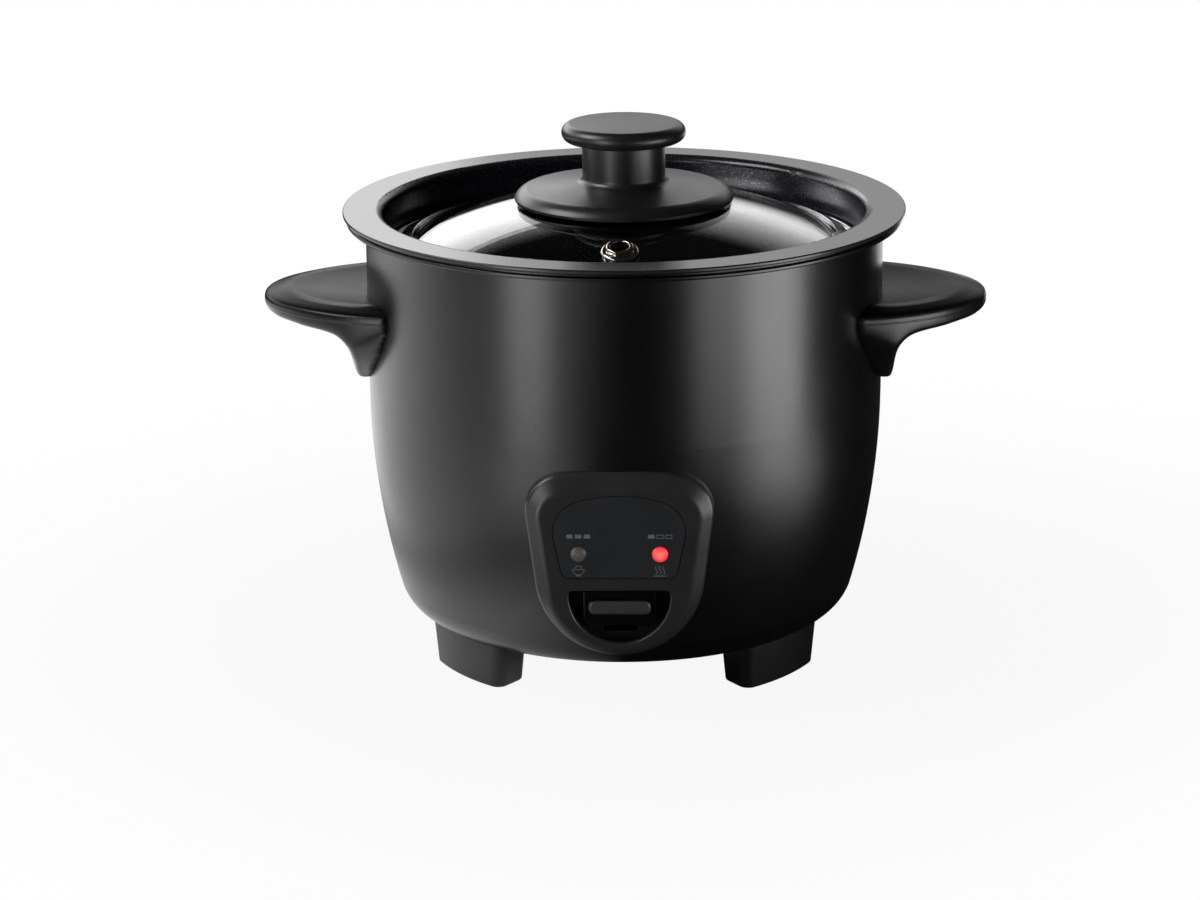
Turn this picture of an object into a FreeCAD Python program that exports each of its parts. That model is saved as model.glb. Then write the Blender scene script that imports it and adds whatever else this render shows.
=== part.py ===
# A small one-switch rice cooker with a glass lid, as a parametric assembly.
# Millimetres. +Z is up, the panel looks towards -Y, the handles stand out along X.
# The origin is on the table, under the middle of the cooker.

import FreeCAD, Part
import math
import os
import re

import Sketcher

doc = FreeCAD.newDocument("rice_cooker")
Vector = FreeCAD.Vector
Placement = FreeCAD.Placement
Rotation = FreeCAD.Rotation

UP = Vector(0, 0, 1)
RIGHT = Vector(1, 0, 0)
LEFT = Vector(-1, 0, 0)
FRONT = Vector(0, -1, 0)

# Driving dimensions, in millimetres, degrees or counts.
SIZES = [
    # clearances
    ("fit_gap", 0.1, "between pieces that are fixed to each other"),
    ("slide_gap", 0.3, "between pieces that move past each other"),
    ("pin_gap", 0.06, "round a pin that turns"),
    # shell
    ("foot_height", 13.0, "from the table to the shell's bottom"),
    ("works_height", 31.1, "from the shell's bottom to the underside of the liner's floor"),
    ("air_gap", 2.3, "between the liner's collar and the shell"),
    ("shell_wall", 0.8, "sheet thickness of the shell"),
    ("shell_straight", 54.4, "height of the straight wall, from the lip's top"),
    ("shell_belly", 240.0, "radius of the curve that draws the wall in"),
    ("shell_heel", 12.0, "radius where the wall turns under"),
    ("lip_reach", 5.9, "how far the shell's lip stands out"),
    ("lip_thickness", 1.5, "height of the shell's lip"),
    ("lip_round", 0.6, "rounding of the lip's edge"),
    ("lip_throat", 1.2, "fillet under the lip"),
    ("base_ledge", 6.4, "how far the shell's bottom reaches under the base cover"),
    # liner
    ("liner_wall", 0.5, "sheet thickness of the liner"),
    ("liner_inset", 0.8, "from the lip's edge to the edge of the liner's flange"),
    ("liner_room", 0.7, "between the liner and the pot"),
    # pot
    ("pot_overhang", 1.1, "how far the pot's flange passes the lip"),
    ("pot_wall", 1.3, "wall of the pot"),
    ("pot_mouth", 74.9, "inside radius above the ledge"),
    ("ledge_width", 3.7, "width of the ledge that carries the lid"),
    ("pot_draft", 2.6, "how much the well narrows towards its floor"),
    ("pot_depth", 81.7, "from the flange's top to the underside of the floor"),
    ("pot_corner", 14.0, "inside radius between wall and floor"),
    ("pot_brim", 2.5, "rounding from the flange into the mouth"),
    ("pot_ledge_round", 0.9, "rounding of the ledge"),
    ("edge_share", 0.35, "rounding of a sheet's edge, as a share of its thickness"),
    ("ledge_drop", 13.7, "from the flange's top to the ledge"),
    ("flange_gap", 0.5, "between the liner's flange and the pot's"),
    # lid
    ("lid_play", 1.0, "room round the lid in the pot"),
    ("lid_rise", 18.2, "from the ledge to the top of the dome"),
    ("dome_radius", 166.0, "outside of the glass dome"),
    ("glass_thickness", 3.6, "glass of the lid"),
    ("band_wall", 0.6, "sheet thickness of the steel band"),
    ("band_hem", 3.4, "how far the band reaches over the glass"),
    ("band_bead", 1.5, "height of the band's outer edge"),
    ("vent_reach", 52.0, "from the middle of the lid to the steam vent"),
    ("vent_bore", 2.8, "radius of the steam hole"),
    ("vent_tube", 3.9, "radius of the eyelet in the glass"),
    ("vent_flange", 5.7, "radius of the eyelet's flange"),
    ("vent_ring", 4.1, "radius of the rolled ring"),
    ("vent_height", 3.4, "height of the eyelet over the glass"),
    ("vent_sheet", 0.8, "thickness of the flange under the glass"),
    ("vent_skirt", 1.9, "height of the flange over the glass"),
    ("vent_skirt_round", 0.9, "rounding of that flange"),
    ("vent_round", 0.6, "rolled edge of the eyelet"),
    ("vent_mouth_round", 0.48, "rounding of the steam hole's mouth"),
    # knob
    ("collar_radius", 34.0, "outside of the knob's collar"),
    ("collar_gap", 1.0, "between the glass and the collar"),
    ("collar_edge", 0.8, "height of the collar's rim"),
    ("collar_rise", 1.1, "from the dome's top to the collar's top"),
    ("collar_shoulder", 29.5, "radius where the collar's top is flat"),
    ("collar_slope", 1.8, "how far the collar's top rises to the throat"),
    ("collar_throat", 2.0, "hollow curve from the collar to the neck"),
    ("neck_radius", 12.9, "neck of the grip"),
    ("neck_height", 10.8, "from the seam to the underside of the cap"),
    ("cap_radius", 19.3, "cap of the grip"),
    ("cap_edge", 2.8, "half the height of the cap's rounded edge"),
    ("cap_crown", 0.4, "how far the cap's top swells"),
    ("cap_throat", 0.6, "fillet under the cap"),
    ("gasket_radius", 16.0, "silicone ring under the collar"),
    ("knob_screw_radius", 2.0, "screw of the knob"),
    ("knob_screw_depth", 8.0, "how far the screw goes into the grip"),
    ("knob_head_radius", 5.0, "head of that screw"),
    ("knob_head_height", 2.4, "height of its head"),
    ("knob_head_bevel", 1.1, "bevel of its head"),
    ("washer_radius", 8.0, "washer under the glass"),
    ("washer_thickness", 1.4, "its thickness"),
    # handles
    ("handle_reach", 32.6, "from the shell's wall out to the handle's tip"),
    ("handle_tip_round", 29.0, "radius of the tip, seen from above"),
    ("handle_tip_angle", 42.0, "where the tip's round runs into the sides"),
    ("handle_side_round", 57.0, "radius of the sides, seen from above"),
    ("handle_drop", 22.5, "from the top of the shell's lip down to the handle's top"),
    ("handle_height", 29.4, "from the handle's top to its lowest point"),
    ("handle_border", 7.6, "width of the sloping border round the handle's top"),
    ("handle_slope", 2.1, "how far the border rises"),
    ("handle_edge", 1.1, "rounding of the border's outer edge"),
    ("handle_ridge", 8.0, "rounding of the border's inner edge"),
    ("grip_depth", 7.4, "from the handle's top to the underside at the tip"),
    ("grip_slope", 4.4, "rise of the underside towards the tip"),
    ("grip_bend", 6.5, "radius between leg and underside"),
    ("leg_reach", 3.1, "how far the leg's foot stands out from the shell"),
    ("leg_lean", 2.0, "lean of the leg"),
    ("leg_bowl", 42.6, "radius of the leg's round lower outline"),
    ("leg_round", 1.4, "rounding of the leg's and the underside's edges"),
    ("handle_screw_side", 18.0, "screws, from the middle of the handle"),
    ("handle_screw_drop", 6.0, "from the handle's top down to the screws"),
    # panel
    ("panel_proud", 2.5, "how far the panel's face stands out from the shell"),
    ("panel_depth", 14.0, "depth of the panel's side walls before they meet the shell"),
    ("panel_wall", 2.0, "thickness of the panel's face"),
    ("panel_side", 1.5, "how much smaller the hollow is than the face"),
    ("panel_round", 3.0, "rounding of the face's edge"),
    ("panel_edge", 2.0, "rounding of the panel's outer edge"),
    ("chin_radius", 25.4, "round lower end of the panel"),
    ("chin_rise", 5.9, "from the window's round up to the centre of that round"),
    ("panel_flare", 7.5, "lean of the panel's sides"),
    ("panel_side_length", 21.4, "straight part of the sides"),
    ("panel_corner", 11.5, "upper corners of the panel"),
    ("panel_arch", 10.0, "half angle of the arched top"),
    ("face_inset", 4.2, "how much smaller the face is than the panel"),
    ("face_drop", 3.0, "how much lower the face's round lower end is centred"),
    ("face_side_length", 23.2, "straight part of the face's sides"),
    # label
    ("label_rise", 4.1, "from the window's top to the lower edge of the label"),
    ("label_flat", 14.8, "half length of its straight lower edge"),
    ("label_corner", 2.5, "its lower corners"),
    ("label_flare", 12.0, "lean of its sides"),
    ("label_side_length", 10.2, "straight part of its sides"),
    ("label_shoulder", 10.0, "its upper corners"),
    ("label_arch", 15.0, "half angle of its arched top"),
    ("label_thickness", 0.6, "thickness of the label"),
    ("label_gap", 0.25, "groove round the label"),
    # lamps
    ("lamp_side", 12.1, "lamps, from the middle"),
    ("lamp_rise", 7.4, "from the label's lower edge to the lamps"),
    ("lamp_radius", 2.35, "lens of a lamp"),
    ("lamp_flange", 3.2, "flange behind the panel's face"),
    ("lamp_flange_thickness", 1.0, "its thickness"),
    ("lamp_proud", 0.7, "how far a lens stands out"),
    ("board_gap", 5.4, "from the back of the panel's face to the lamp board"),
    ("board_thickness", 1.4, "thickness of the lamp board"),
    ("board_half", 19.4, "half width of the board"),
    ("board_rise", 2.0, "from the label's lower edge to the board's"),
    ("board_height", 19.4, "height of the board"),
    ("board_screw_side", 16.4, "board screws, from the middle"),
    ("board_screw_rise", 16.0, "board screws, from the board's lower edge"),
    ("board_boss", 2.4, "boss that carries the board"),
    # key
    ("window_radius", 15.2, "round part of the key's window"),
    ("window_rise", 5.9, "from the lever's pin up to the centre of that round"),
    ("window_corner", 1.4, "upper corners of the window"),
    ("window_round", 0.5, "rounding of the window's edge"),
    ("key_half", 11.05, "half width of the key"),
    ("key_rise", 6.7, "from the lever's pin up to the key's top at rest"),
    ("key_height", 11.1, "height of the key"),
    ("key_corner", 3.0, "lower corners of the key"),
    ("key_round", 0.6, "rounding of the key's front"),
    ("key_thickness", 3.0, "thickness of the key"),
    ("key_setback", 0.4, "from the back of the panel's face to the key's front"),
    ("bar_half", 9.4, "half width of the raised bar"),
    ("bar_rise", 3.9, "from the key's lower edge to the bar's"),
    ("bar_height", 4.4, "height of the bar"),
    ("bar_proud", 1.8, "how far the bar stands out"),
    ("bar_corner", 1.9, "rounded ends of the bar"),
    ("bar_round", 1.1, "rounding of the bar's front"),
    ("stem_half", 4.0, "half width of the key's stem"),
    ("stem_height", 4.5, "height of the stem"),
    ("guide_gap", 4.8, "from the back of the face to the key guide"),
    ("guide_thickness", 1.5, "thickness of the key guide"),
    ("guide_slot_room", 1.0, "room beside the stem"),
    ("guide_overlap", 2.0, "how far the guide reaches over the window's top"),
    # lever
    ("pivot_reach", 36.0, "from the middle of the cooker to the lever's pin"),
    ("pivot_drop", 8.6, "from the liner's floor down to the pin"),
    ("key_swing", 5.33, "angle through which the lever rocks"),
    ("lever_half", 5.0, "half width of the lever"),
    ("lever_thickness", 2.0, "thickness of the lever"),
    ("stem_length", 4.6, "from the key's back to the lever's front end"),
    ("lever_rear", 5.0, "how far the lever passes the middle"),
    ("hub_radius", 3.5, "hub of the lever"),
    ("pin_radius", 1.5, "pin of the lever"),
    ("bracket_room", 1.0, "between the lever and the bracket's ears"),
    ("bracket_sheet", 1.2, "sheet thickness of the bracket"),
    ("bracket_front", 6.0, "bracket, in front of the pin"),
    ("bracket_rear", 6.0, "bracket, behind the pin"),
    ("switch_front", 62.0, "from the middle to the switch's front"),
    ("switch_length", 18.0, "length of the switch"),
    ("switch_width", 6.4, "width of the switch"),
    ("switch_height", 9.5, "height of the switch"),
    ("switch_clear", 4.0, "from the lever down to the switch"),
    ("button_reach", 53.0, "from the middle to the switch's button"),
    ("button_half", 1.4, "half width of the button"),
    ("button_rest_gap", 0.6, "between the button and the lever"),
    ("button_travel", 1.2, "travel of the button"),
    # heating plate
    ("heater_radius", 63.0, "radius of the heating plate"),
    ("heater_thickness", 6.0, "thickness of the plate"),
    ("heater_hole", 17.5, "hole for the sensor"),
    ("heater_leg", 9.4, "height of the plate's legs"),
    ("heater_leg_radius", 4.0, "radius of a leg"),
    ("heater_leg_ring", 55.0, "from the middle to a leg"),
    ("heater_edge", 1.2, "rounding of the plate's edge"),
    ("bead_ring", 42.0, "radius of the cast-in element"),
    ("bead_radius", 5.0, "half thickness of the element's bead"),
    ("terminal_radius", 2.2, "terminal of the element"),
    ("terminal_angle", 16.0, "terminals, to each side of the back"),
    ("terminal_length", 16.0, "length of a terminal"),
    ("terminal_room", 2.4, "round a terminal in the liner"),
    # sensor
    ("sensor_gap", 0.3, "between the sensor's cap and the pot"),
    ("sensor_cap_radius", 15.8, "outside of the sensor's cap"),
    ("sensor_cap_wall", 1.0, "wall of the cap"),
    ("sensor_cap_height", 13.7, "height of the cap"),
    ("ferrite_radius", 12.8, "ferrite disc in the cap"),
    ("ferrite_thickness", 3.8, "its thickness"),
    ("guide_tube_radius", 14.2, "outside of the sensor's guide tube"),
    ("guide_tube_wall", 0.8, "its wall"),
    ("guide_tube_height", 8.0, "its height over the liner's floor"),
    ("guide_flange", 21.0, "flange under the liner's floor"),
    ("guide_sheet", 1.0, "thickness of that flange"),
    ("magnet_gap", 3.8, "between the magnet and the ferrite at rest"),
    ("magnet_radius", 7.5, "radius of the magnet"),
    ("magnet_thickness", 4.0, "its thickness"),
    ("magnet_flange", 10.2, "flange of the magnet's holder"),
    ("magnet_flange_thickness", 1.0, "its thickness"),
    ("rod_radius", 2.0, "plunger rod"),
    ("rod_rest_gap", 0.5, "between the rod and the lever"),
    ("sensor_spring_radius", 12.2, "mean radius of the sensor's spring"),
    ("sensor_spring_wire", 1.0, "its wire"),
    ("sensor_spring_turns", 4, "its turns"),
    ("release_spring_radius", 9.0, "mean radius of the release spring"),
    ("release_spring_wire", 0.7, "its wire"),
    ("release_spring_turns", 3, "its turns"),
    # keep-warm band
    ("warm_band_wall", 1.4, "thickness of the keep-warm band"),
    ("warm_band_rise", 24.0, "from the underside of the pot to its lower edge"),
    ("warm_band_height", 18.0, "its height"),
    ("warm_band_sweep", 330.0, "how far it goes round"),
    # feet and base
    ("foot_reach", 4.0, "how far a foot passes the start of the shell's heel"),
    ("foot_width", 12.9, "from the inside of a foot to its outside"),
    ("foot_angle", 52.0, "feet, to each side of front and back"),
    ("foot_half_angle", 15.9, "half the angle that a foot spans at the table"),
    ("foot_corner", 3.6, "upright corners of a foot"),
    ("foot_draft", 4.0, "how a foot widens upwards"),
    ("foot_edge", 1.0, "rounding at the table"),
    ("foot_screw_inset", 7.5, "from the outside of a foot to its screw"),
    ("foot_screw_seat", 5.5, "from the shell's bottom down to the screw's seat"),
    ("cover_gap", 1.2, "between the base cover and the feet"),
    ("cover_sheet", 1.0, "its thickness"),
    ("cover_screw_inset", 3.2, "from the cover's edge to its screws"),
    ("cover_slots", 10, "vents in the base cover"),
    ("slot_length", 16.0, "length of a vent"),
    ("slot_half", 1.6, "half width of a vent"),
    ("slot_ring", 28.0, "from the middle to the middle of a vent"),
    # small screws
    ("screw_radius", 1.3, "shank of the small screws"),
    ("screw_head_radius", 2.7, "their heads"),
    ("screw_head_height", 1.6, "height of their heads"),
    ("screw_head_bevel", 0.6, "bevel of their heads"),
    ("screw_bite", 4.0, "how deep they go"),
    # inlet
    ("inlet_rise", 16.0, "from the shell's bottom to the inlet's middle"),
    ("inlet_proud", 5.6, "how far the inlet's face stands out from the shell"),
    ("inlet_half", 16.5, "half width of the inlet's frame"),
    ("inlet_half_height", 12.2, "half height of that frame"),
    ("inlet_round", 3.0, "corners of the frame"),
    ("inlet_box_half", 13.6, "half width of the inlet's box"),
    ("inlet_box_half_height", 9.6, "half height of that box"),
    ("inlet_depth", 16.5, "depth of the recess"),
    ("inlet_floor", 3.5, "thickness of the recess's floor"),
    ("recess_half", 12.1, "half width of the recess"),
    ("recess_half_height", 8.2, "half height of the recess"),
    ("recess_bevel", 4.0, "bevelled corners of the recess"),
    ("prong_pitch", 7.0, "between neighbouring prongs"),
    ("prong_rise", 2.0, "outer prongs under the middle, earth prong over it"),
    ("prong_wide", 2.0, "width of a prong"),
    ("prong_high", 4.0, "height of a prong"),
    ("prong_short", 2.5, "from the face to a prong's tip"),
    ("prong_tail", 7.0, "tail of a prong behind the recess's floor"),
    # fuse and wires
    ("fuse_radius", 2.0, "thermal fuse"),
    ("fuse_length", 12.0, "its length"),
    ("fuse_side", 24.0, "from the middle to the fuse"),
    ("fuse_clip_sheet", 0.8, "thickness of the fuse's clip"),
    ("wire_radius", 1.1, "inner wires"),
    ("wire_bend", 4.5, "radius of their bends"),
]

# Sizes that follow from the driving ones.
WORKED = [
    # heights, from the table up
    ("floor_under", "foot_height + works_height"),
    ("floor_top", "floor_under + liner_wall"),
    ("heater_low", "floor_top + heater_leg"),
    ("pot_bottom", "heater_low + heater_thickness"),
    ("flange_top", "pot_bottom + pot_depth"),
    ("flange_under", "flange_top - pot_wall"),
    ("liner_top", "flange_under - flange_gap"),
    ("lip_top", "liner_top - liner_wall"),
    ("lip_low", "lip_top - lip_thickness"),
    ("ledge_top", "flange_top - ledge_drop"),
    ("pot_seam", "ledge_top - pot_wall - pot_ledge_round"),
    # radii, from the pot outwards
    ("pot_well", "pot_mouth - ledge_width"),
    ("pot_floor", "pot_well - pot_draft"),
    ("liner_can", "pot_well + pot_wall + liner_room"),
    ("liner_collar", "pot_mouth + pot_wall + liner_room"),
    ("shell_inside", "liner_collar + liner_wall + air_gap"),
    ("shell_radius", "shell_inside + shell_wall"),
    ("lip_radius", "shell_radius + lip_reach"),
    ("liner_flange", "lip_radius - liner_inset"),
    ("pot_flange", "lip_radius + pot_overhang"),
    # shell's curve
    ("bend_z", "lip_top - shell_straight"),
    ("heel_z", "foot_height + shell_heel"),
    ("belly_r", "shell_radius - shell_belly"),
    ("belly_span", "shell_belly - shell_heel"),
    ("heel_r", "belly_r + sqrt(belly_span ^ 2 - (bend_z - heel_z) ^ 2)"),
    ("join_cos", "(heel_r - belly_r) / belly_span"),
    ("join_sin", "(bend_z - heel_z) / belly_span"),
    # liner
    ("liner_step", "ledge_top - pot_wall - liner_room"),
    ("floor_hole", "guide_tube_radius + fit_gap"),
    # lid
    ("dome_apex", "ledge_top + lid_rise"),
    ("dome_centre", "dome_apex - dome_radius"),
    ("dome_inside", "dome_radius - glass_thickness"),
    ("band_flange", "pot_mouth - lid_play"),
    ("band_skirt", "pot_well - lid_play"),
    ("band_skirt_inside", "band_skirt - band_wall"),
    ("glass_radius", "band_skirt_inside - fit_gap"),
    ("band_reach", "glass_radius - band_hem"),
    ("band_seat", "ledge_top + slide_gap"),
    ("hem_top", "dome_centre + sqrt(dome_radius ^ 2 - band_reach ^ 2) + fit_gap"),
    ("hem_top_edge", "dome_centre + sqrt(dome_radius ^ 2 - glass_radius ^ 2) + fit_gap"),
    ("hem_low", "dome_centre + sqrt(dome_inside ^ 2 - band_reach ^ 2) - fit_gap"),
    ("hem_low_edge", "dome_centre + sqrt(dome_inside ^ 2 - glass_radius ^ 2) - fit_gap"),
    ("vent_z", "dome_centre + sqrt(dome_radius ^ 2 - vent_reach ^ 2)"),
    ("vent_tilt", "asin(vent_reach / dome_radius)"),
    # knob
    ("collar_under", "dome_radius + collar_gap"),
    ("collar_low", "dome_centre + sqrt(collar_under ^ 2 - collar_radius ^ 2)"),
    ("collar_top", "dome_apex + collar_rise"),
    ("collar_drop", "collar_top - collar_low - collar_edge"),
    ("collar_width", "collar_radius - collar_shoulder"),
    ("collar_round", "(collar_width ^ 2 + collar_drop ^ 2) / (2 * collar_drop)"),
    ("neck_low", "collar_top + collar_slope + collar_throat"),
    ("cap_low", "neck_low + neck_height"),
    ("cap_flat", "cap_radius - cap_edge"),
    ("cap_top", "cap_low + 2 * cap_edge + cap_crown"),
    ("cap_swell", "(cap_flat ^ 2 + cap_crown ^ 2) / (2 * cap_crown)"),
    ("knob_hole", "knob_screw_radius + fit_gap"),
    ("knob_hole_top", "neck_low + knob_screw_depth + fit_gap"),
    ("washer_top", "dome_centre + sqrt(dome_inside ^ 2 - washer_radius ^ 2) - fit_gap"),
    ("washer_low", "washer_top - washer_thickness"),
    # handle
    ("handle_tip", "shell_radius + handle_reach"),
    ("handle_top", "lip_top - handle_drop"),
    ("handle_low", "handle_top - handle_height"),
    ("handle_crest", "handle_top - handle_slope"),
    ("handle_screw_z", "handle_top - handle_screw_drop"),
    ("tip_centre", "handle_tip - handle_tip_round"),
    ("round_step", "handle_side_round - handle_tip_round"),
    ("side_centre", "tip_centre - round_step * cos(handle_tip_angle)"),
    ("side_inset", "round_step * sin(handle_tip_angle)"),
    ("handle_half", "handle_side_round - side_inset"),
    ("leg_bowl_z", "handle_low + leg_bowl - sqrt(leg_bowl ^ 2 - handle_half ^ 2)"),
    ("leg_foot_x", "shell_radius + leg_reach"),
    ("grip_tip", "handle_top - grip_depth"),
    ("leg_cross_z", "(grip_tip + (leg_foot_x - handle_low * tan(leg_lean) - handle_tip)"
                    " * tan(grip_slope)) / (1 - tan(leg_lean) * tan(grip_slope))"),
    ("leg_cross_x", "leg_foot_x + (leg_cross_z - handle_low) * tan(leg_lean)"),
    ("grip_tangent", "grip_bend * tan((90 - leg_lean - grip_slope) / 2)"),
    # panel, hung on the height of the lever's pin
    ("pivot_z", "floor_under - pivot_drop"),
    ("window_z", "pivot_z + window_rise"),
    ("window_top", "window_z + window_corner"),
    ("label_low", "window_top + label_rise"),
    ("lamp_z", "label_low + lamp_rise"),
    ("board_low", "label_low + board_rise"),
    ("key_top", "pivot_z + key_rise"),
    ("key_low", "key_top - key_height"),
    ("bar_low", "key_low + bar_rise"),
    ("chin_z", "window_z + chin_rise"),
    ("chin_step", "chin_radius - panel_corner"),
    ("panel_x", "chin_step * cos(panel_flare) + panel_side_length * sin(panel_flare)"),
    ("panel_z", "chin_z - chin_step * sin(panel_flare) + panel_side_length * cos(panel_flare)"),
    ("face_chin_z", "chin_z - face_drop"),
    ("face_x", "chin_step * cos(panel_flare) + face_side_length * sin(panel_flare)"),
    ("face_z", "face_chin_z - chin_step * sin(panel_flare) + face_side_length * cos(panel_flare)"),
    ("panel_face", "shell_radius + panel_proud"),
    ("panel_back", "panel_face - panel_wall"),
    ("board_face", "panel_back - board_gap"),
    ("guide_face", "panel_back - guide_gap"),
    ("key_front", "panel_back - key_setback"),
    ("key_back", "key_front - key_thickness"),
    ("lever_front", "key_back - stem_length"),
    ("label_x", "label_flat + label_side_length * sin(label_flare)"
                " - (label_shoulder - label_corner) * cos(label_flare)"),
    ("label_z", "label_low + label_corner + label_side_length * cos(label_flare)"
                " + (label_shoulder - label_corner) * sin(label_flare)"),
    # lever
    ("lever_low", "pivot_z - lever_thickness / 2"),
    ("lever_top", "pivot_z + lever_thickness / 2"),
    ("ear_inside", "lever_half + bracket_room"),
    ("ear_outside", "ear_inside + bracket_sheet"),
    ("switch_top", "lever_low - switch_clear"),
    ("switch_low", "switch_top - switch_height"),
    ("switch_rear", "switch_front - switch_length"),
    ("switch_middle", "ear_inside - switch_width / 2"),
    ("button_top", "lever_low - button_rest_gap"),
    ("button_well", "switch_top - button_travel - 2 * slide_gap"),
    ("stem_low", "pivot_z - stem_height / 2"),
    ("key_travel", "(key_front - pivot_reach) * tan(key_swing)"),
    # sensor
    ("sensor_top", "pot_bottom - sensor_gap"),
    ("ferrite_top", "sensor_top - sensor_cap_wall"),
    ("ferrite_low", "ferrite_top - ferrite_thickness"),
    ("magnet_top", "ferrite_low - magnet_gap"),
    ("magnet_low", "magnet_top - magnet_thickness"),
    ("rod_low", "lever_top + rod_rest_gap"),
    ("rod_hole", "rod_radius + slide_gap"),
    ("sensor_spring_low", "floor_under + sensor_spring_wire / 2 + fit_gap"),
    ("sensor_spring_top", "ferrite_low - sensor_spring_wire / 2 - fit_gap"),
    ("release_spring_low", "magnet_low + magnet_flange_thickness + release_spring_wire / 2 + fit_gap"),
    ("release_spring_top", "ferrite_low - release_spring_wire / 2 - fit_gap"),
    ("terminal_top", "heater_low - bead_radius - fit_gap"),
    ("terminal_low", "terminal_top - terminal_length"),
    # base
    ("foot_outer", "heel_r + foot_reach"),
    ("foot_inner", "foot_outer - foot_width"),
    ("foot_screw_ring", "foot_outer - foot_screw_inset"),
    ("cover_radius", "foot_inner - cover_gap"),
    ("base_opening", "cover_radius - base_ledge"),
    ("cover_screw_ring", "cover_radius - cover_screw_inset"),
    ("inlet_z", "foot_height + inlet_rise"),
    ("inlet_face", "belly_r + sqrt(shell_belly ^ 2 - (bend_z - inlet_z) ^ 2) + inlet_proud"),
    ("cover_low", "foot_height - cover_sheet"),
    ("foot_seat", "foot_height - foot_screw_seat"),
    ("inlet_inside", "inlet_face - inlet_depth"),
    ("inlet_back", "inlet_inside - inlet_floor"),
    ("fuse_z", "floor_under - fuse_radius - fuse_clip_sheet - fit_gap"),
]

HOME = {}


def fill_sheet(name, rows):
    """Makes a sheet with one alias a row. Text is a formula, a number is a driving size."""
    sheet = doc.addObject("Spreadsheet::Sheet", name)
    for row, (alias, content, *words) in enumerate(rows, start=1):
        cell = f"B{row}"
        HOME[alias] = name
        sheet.set(f"A{row}", words[0] if words else alias)
        sheet.set(cell, "=" + full(content) if isinstance(content, str) else str(content))
        sheet.setAlias(cell, alias)
    doc.recompute()
    return sheet


def full(text):
    """Puts the sheet's name before every size that an expression names."""
    return re.sub(r"[A-Za-z_]\w*", lambda word: named(word[0]), text)


def named(word):
    return f"{HOME[word]}.{word}" if word in HOME else word


sizes = fill_sheet("Sizes", SIZES)
fill_sheet("Worked", WORKED)


def value(text):
    """The number that an expression has now."""
    return float(sizes.evalExpression(full(text)))


def bind(thing, setting, text):
    thing.setExpression(setting, full(text))


def minus(text):
    return f"-({text})"


# Sketches, features and primitives


def new_body(label):
    return doc.addObject("PartDesign::Body", label)


def origin_plane(body, role):
    return next(item for item in body.Origin.OriginFeatures if item.Role == role)


def new_sketch(body, name, role, offset="0"):
    """A sketch on one of the body's own planes. XZ sketches stand on the plane y = -offset."""
    sketch = body.newObject("Sketcher::SketchObject", name)
    sketch.AttachmentSupport = [(origin_plane(body, role), "")]
    sketch.MapMode = "FlatFace"
    if offset != "0":
        bind(sketch, "AttachmentOffset.Base.z", offset)
    return sketch


def arc_between(start, end, radius, turn):
    """The arc under a half circle from start to end that turns left or right."""
    chord = end - start
    side = 1 if turn == "left" else -1
    height = math.sqrt(max(radius ** 2 - chord.Length ** 2 / 4, 0))
    across = Vector(-chord.y, chord.x, 0).normalize() * side
    centre = (start + end) / 2 + across * height
    first, last = (start, end) if turn == "left" else (end, start)
    begin = math.atan2(first.y - centre.y, first.x - centre.x)
    finish = math.atan2(last.y - centre.y, last.x - centre.x)
    if finish < begin:
        finish += 2 * math.pi
    return Part.ArcOfCircle(Part.Circle(centre, UP, radius), begin, finish)


def hold_point(sketch, geometry, point, x, y):
    """Ties a point of the sketch to two expressions."""
    for kind, text in (("DistanceX", x), ("DistanceY", y)):
        rule = sketch.addConstraint(Sketcher.Constraint(kind, geometry, point, value(text)))
        bind(sketch, f"Constraints[{rule}]", text)


def trace(sketch, corners):
    """A closed outline. A corner is (x, y), reached by a line, or (x, y, radius, turn), by an arc."""
    spots = [Vector(value(corner[0]), value(corner[1]), 0) for corner in corners]
    edges = []
    for index, corner in enumerate(corners):
        start = spots[index - 1]
        end = spots[index]
        if len(corner) == 2:
            shape = Part.LineSegment(start, end)
            ends = (1, 2)
        else:
            shape = arc_between(start, end, value(corner[2]), corner[3])
            ends = (1, 2) if corner[3] == "left" else (2, 1)
        edges.append((sketch.addGeometry(shape), *ends))
    for index, (edge, begin, _) in enumerate(edges):
        before, _, joint = edges[index - 1]
        sketch.addConstraint(Sketcher.Constraint("Coincident", before, joint, edge, begin))
    for (edge, _, finish), corner in zip(edges, corners):
        hold_point(sketch, edge, finish, corner[0], corner[1])
        if len(corner) == 4:
            rule = sketch.addConstraint(Sketcher.Constraint("Radius", edge, value(corner[2])))
            bind(sketch, f"Constraints[{rule}]", corner[2])


def trace_circle(sketch, x, y, radius):
    circle = Part.Circle(Vector(value(x), value(y), 0), UP, value(radius))
    edge = sketch.addGeometry(circle)
    hold_point(sketch, edge, 3, x, y)
    rule = sketch.addConstraint(Sketcher.Constraint("Radius", edge, value(radius)))
    bind(sketch, f"Constraints[{rule}]", radius)


def add_feature(body, kind, name, sketch):
    feature = body.newObject(f"PartDesign::{kind}", name)
    feature.Profile = sketch
    sketch.Visibility = False
    body.Tip = feature
    return feature


def turn_profile(body, name, corners, sweep="360"):
    """Turns a profile of (radius, height) corners round the body's upright axis."""
    sketch = new_sketch(body, f"{name}_profile", "XZ_Plane")
    trace(sketch, corners)
    feature = add_feature(body, "Revolution", f"{name}_turn", sketch)
    feature.ReferenceAxis = (sketch, ["V_Axis"])
    bind(feature, "Angle", sweep)
    return feature


def turned(label, corners, sweep="360"):
    body = new_body(label)
    turn_profile(body, label, corners, sweep)
    return body


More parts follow.
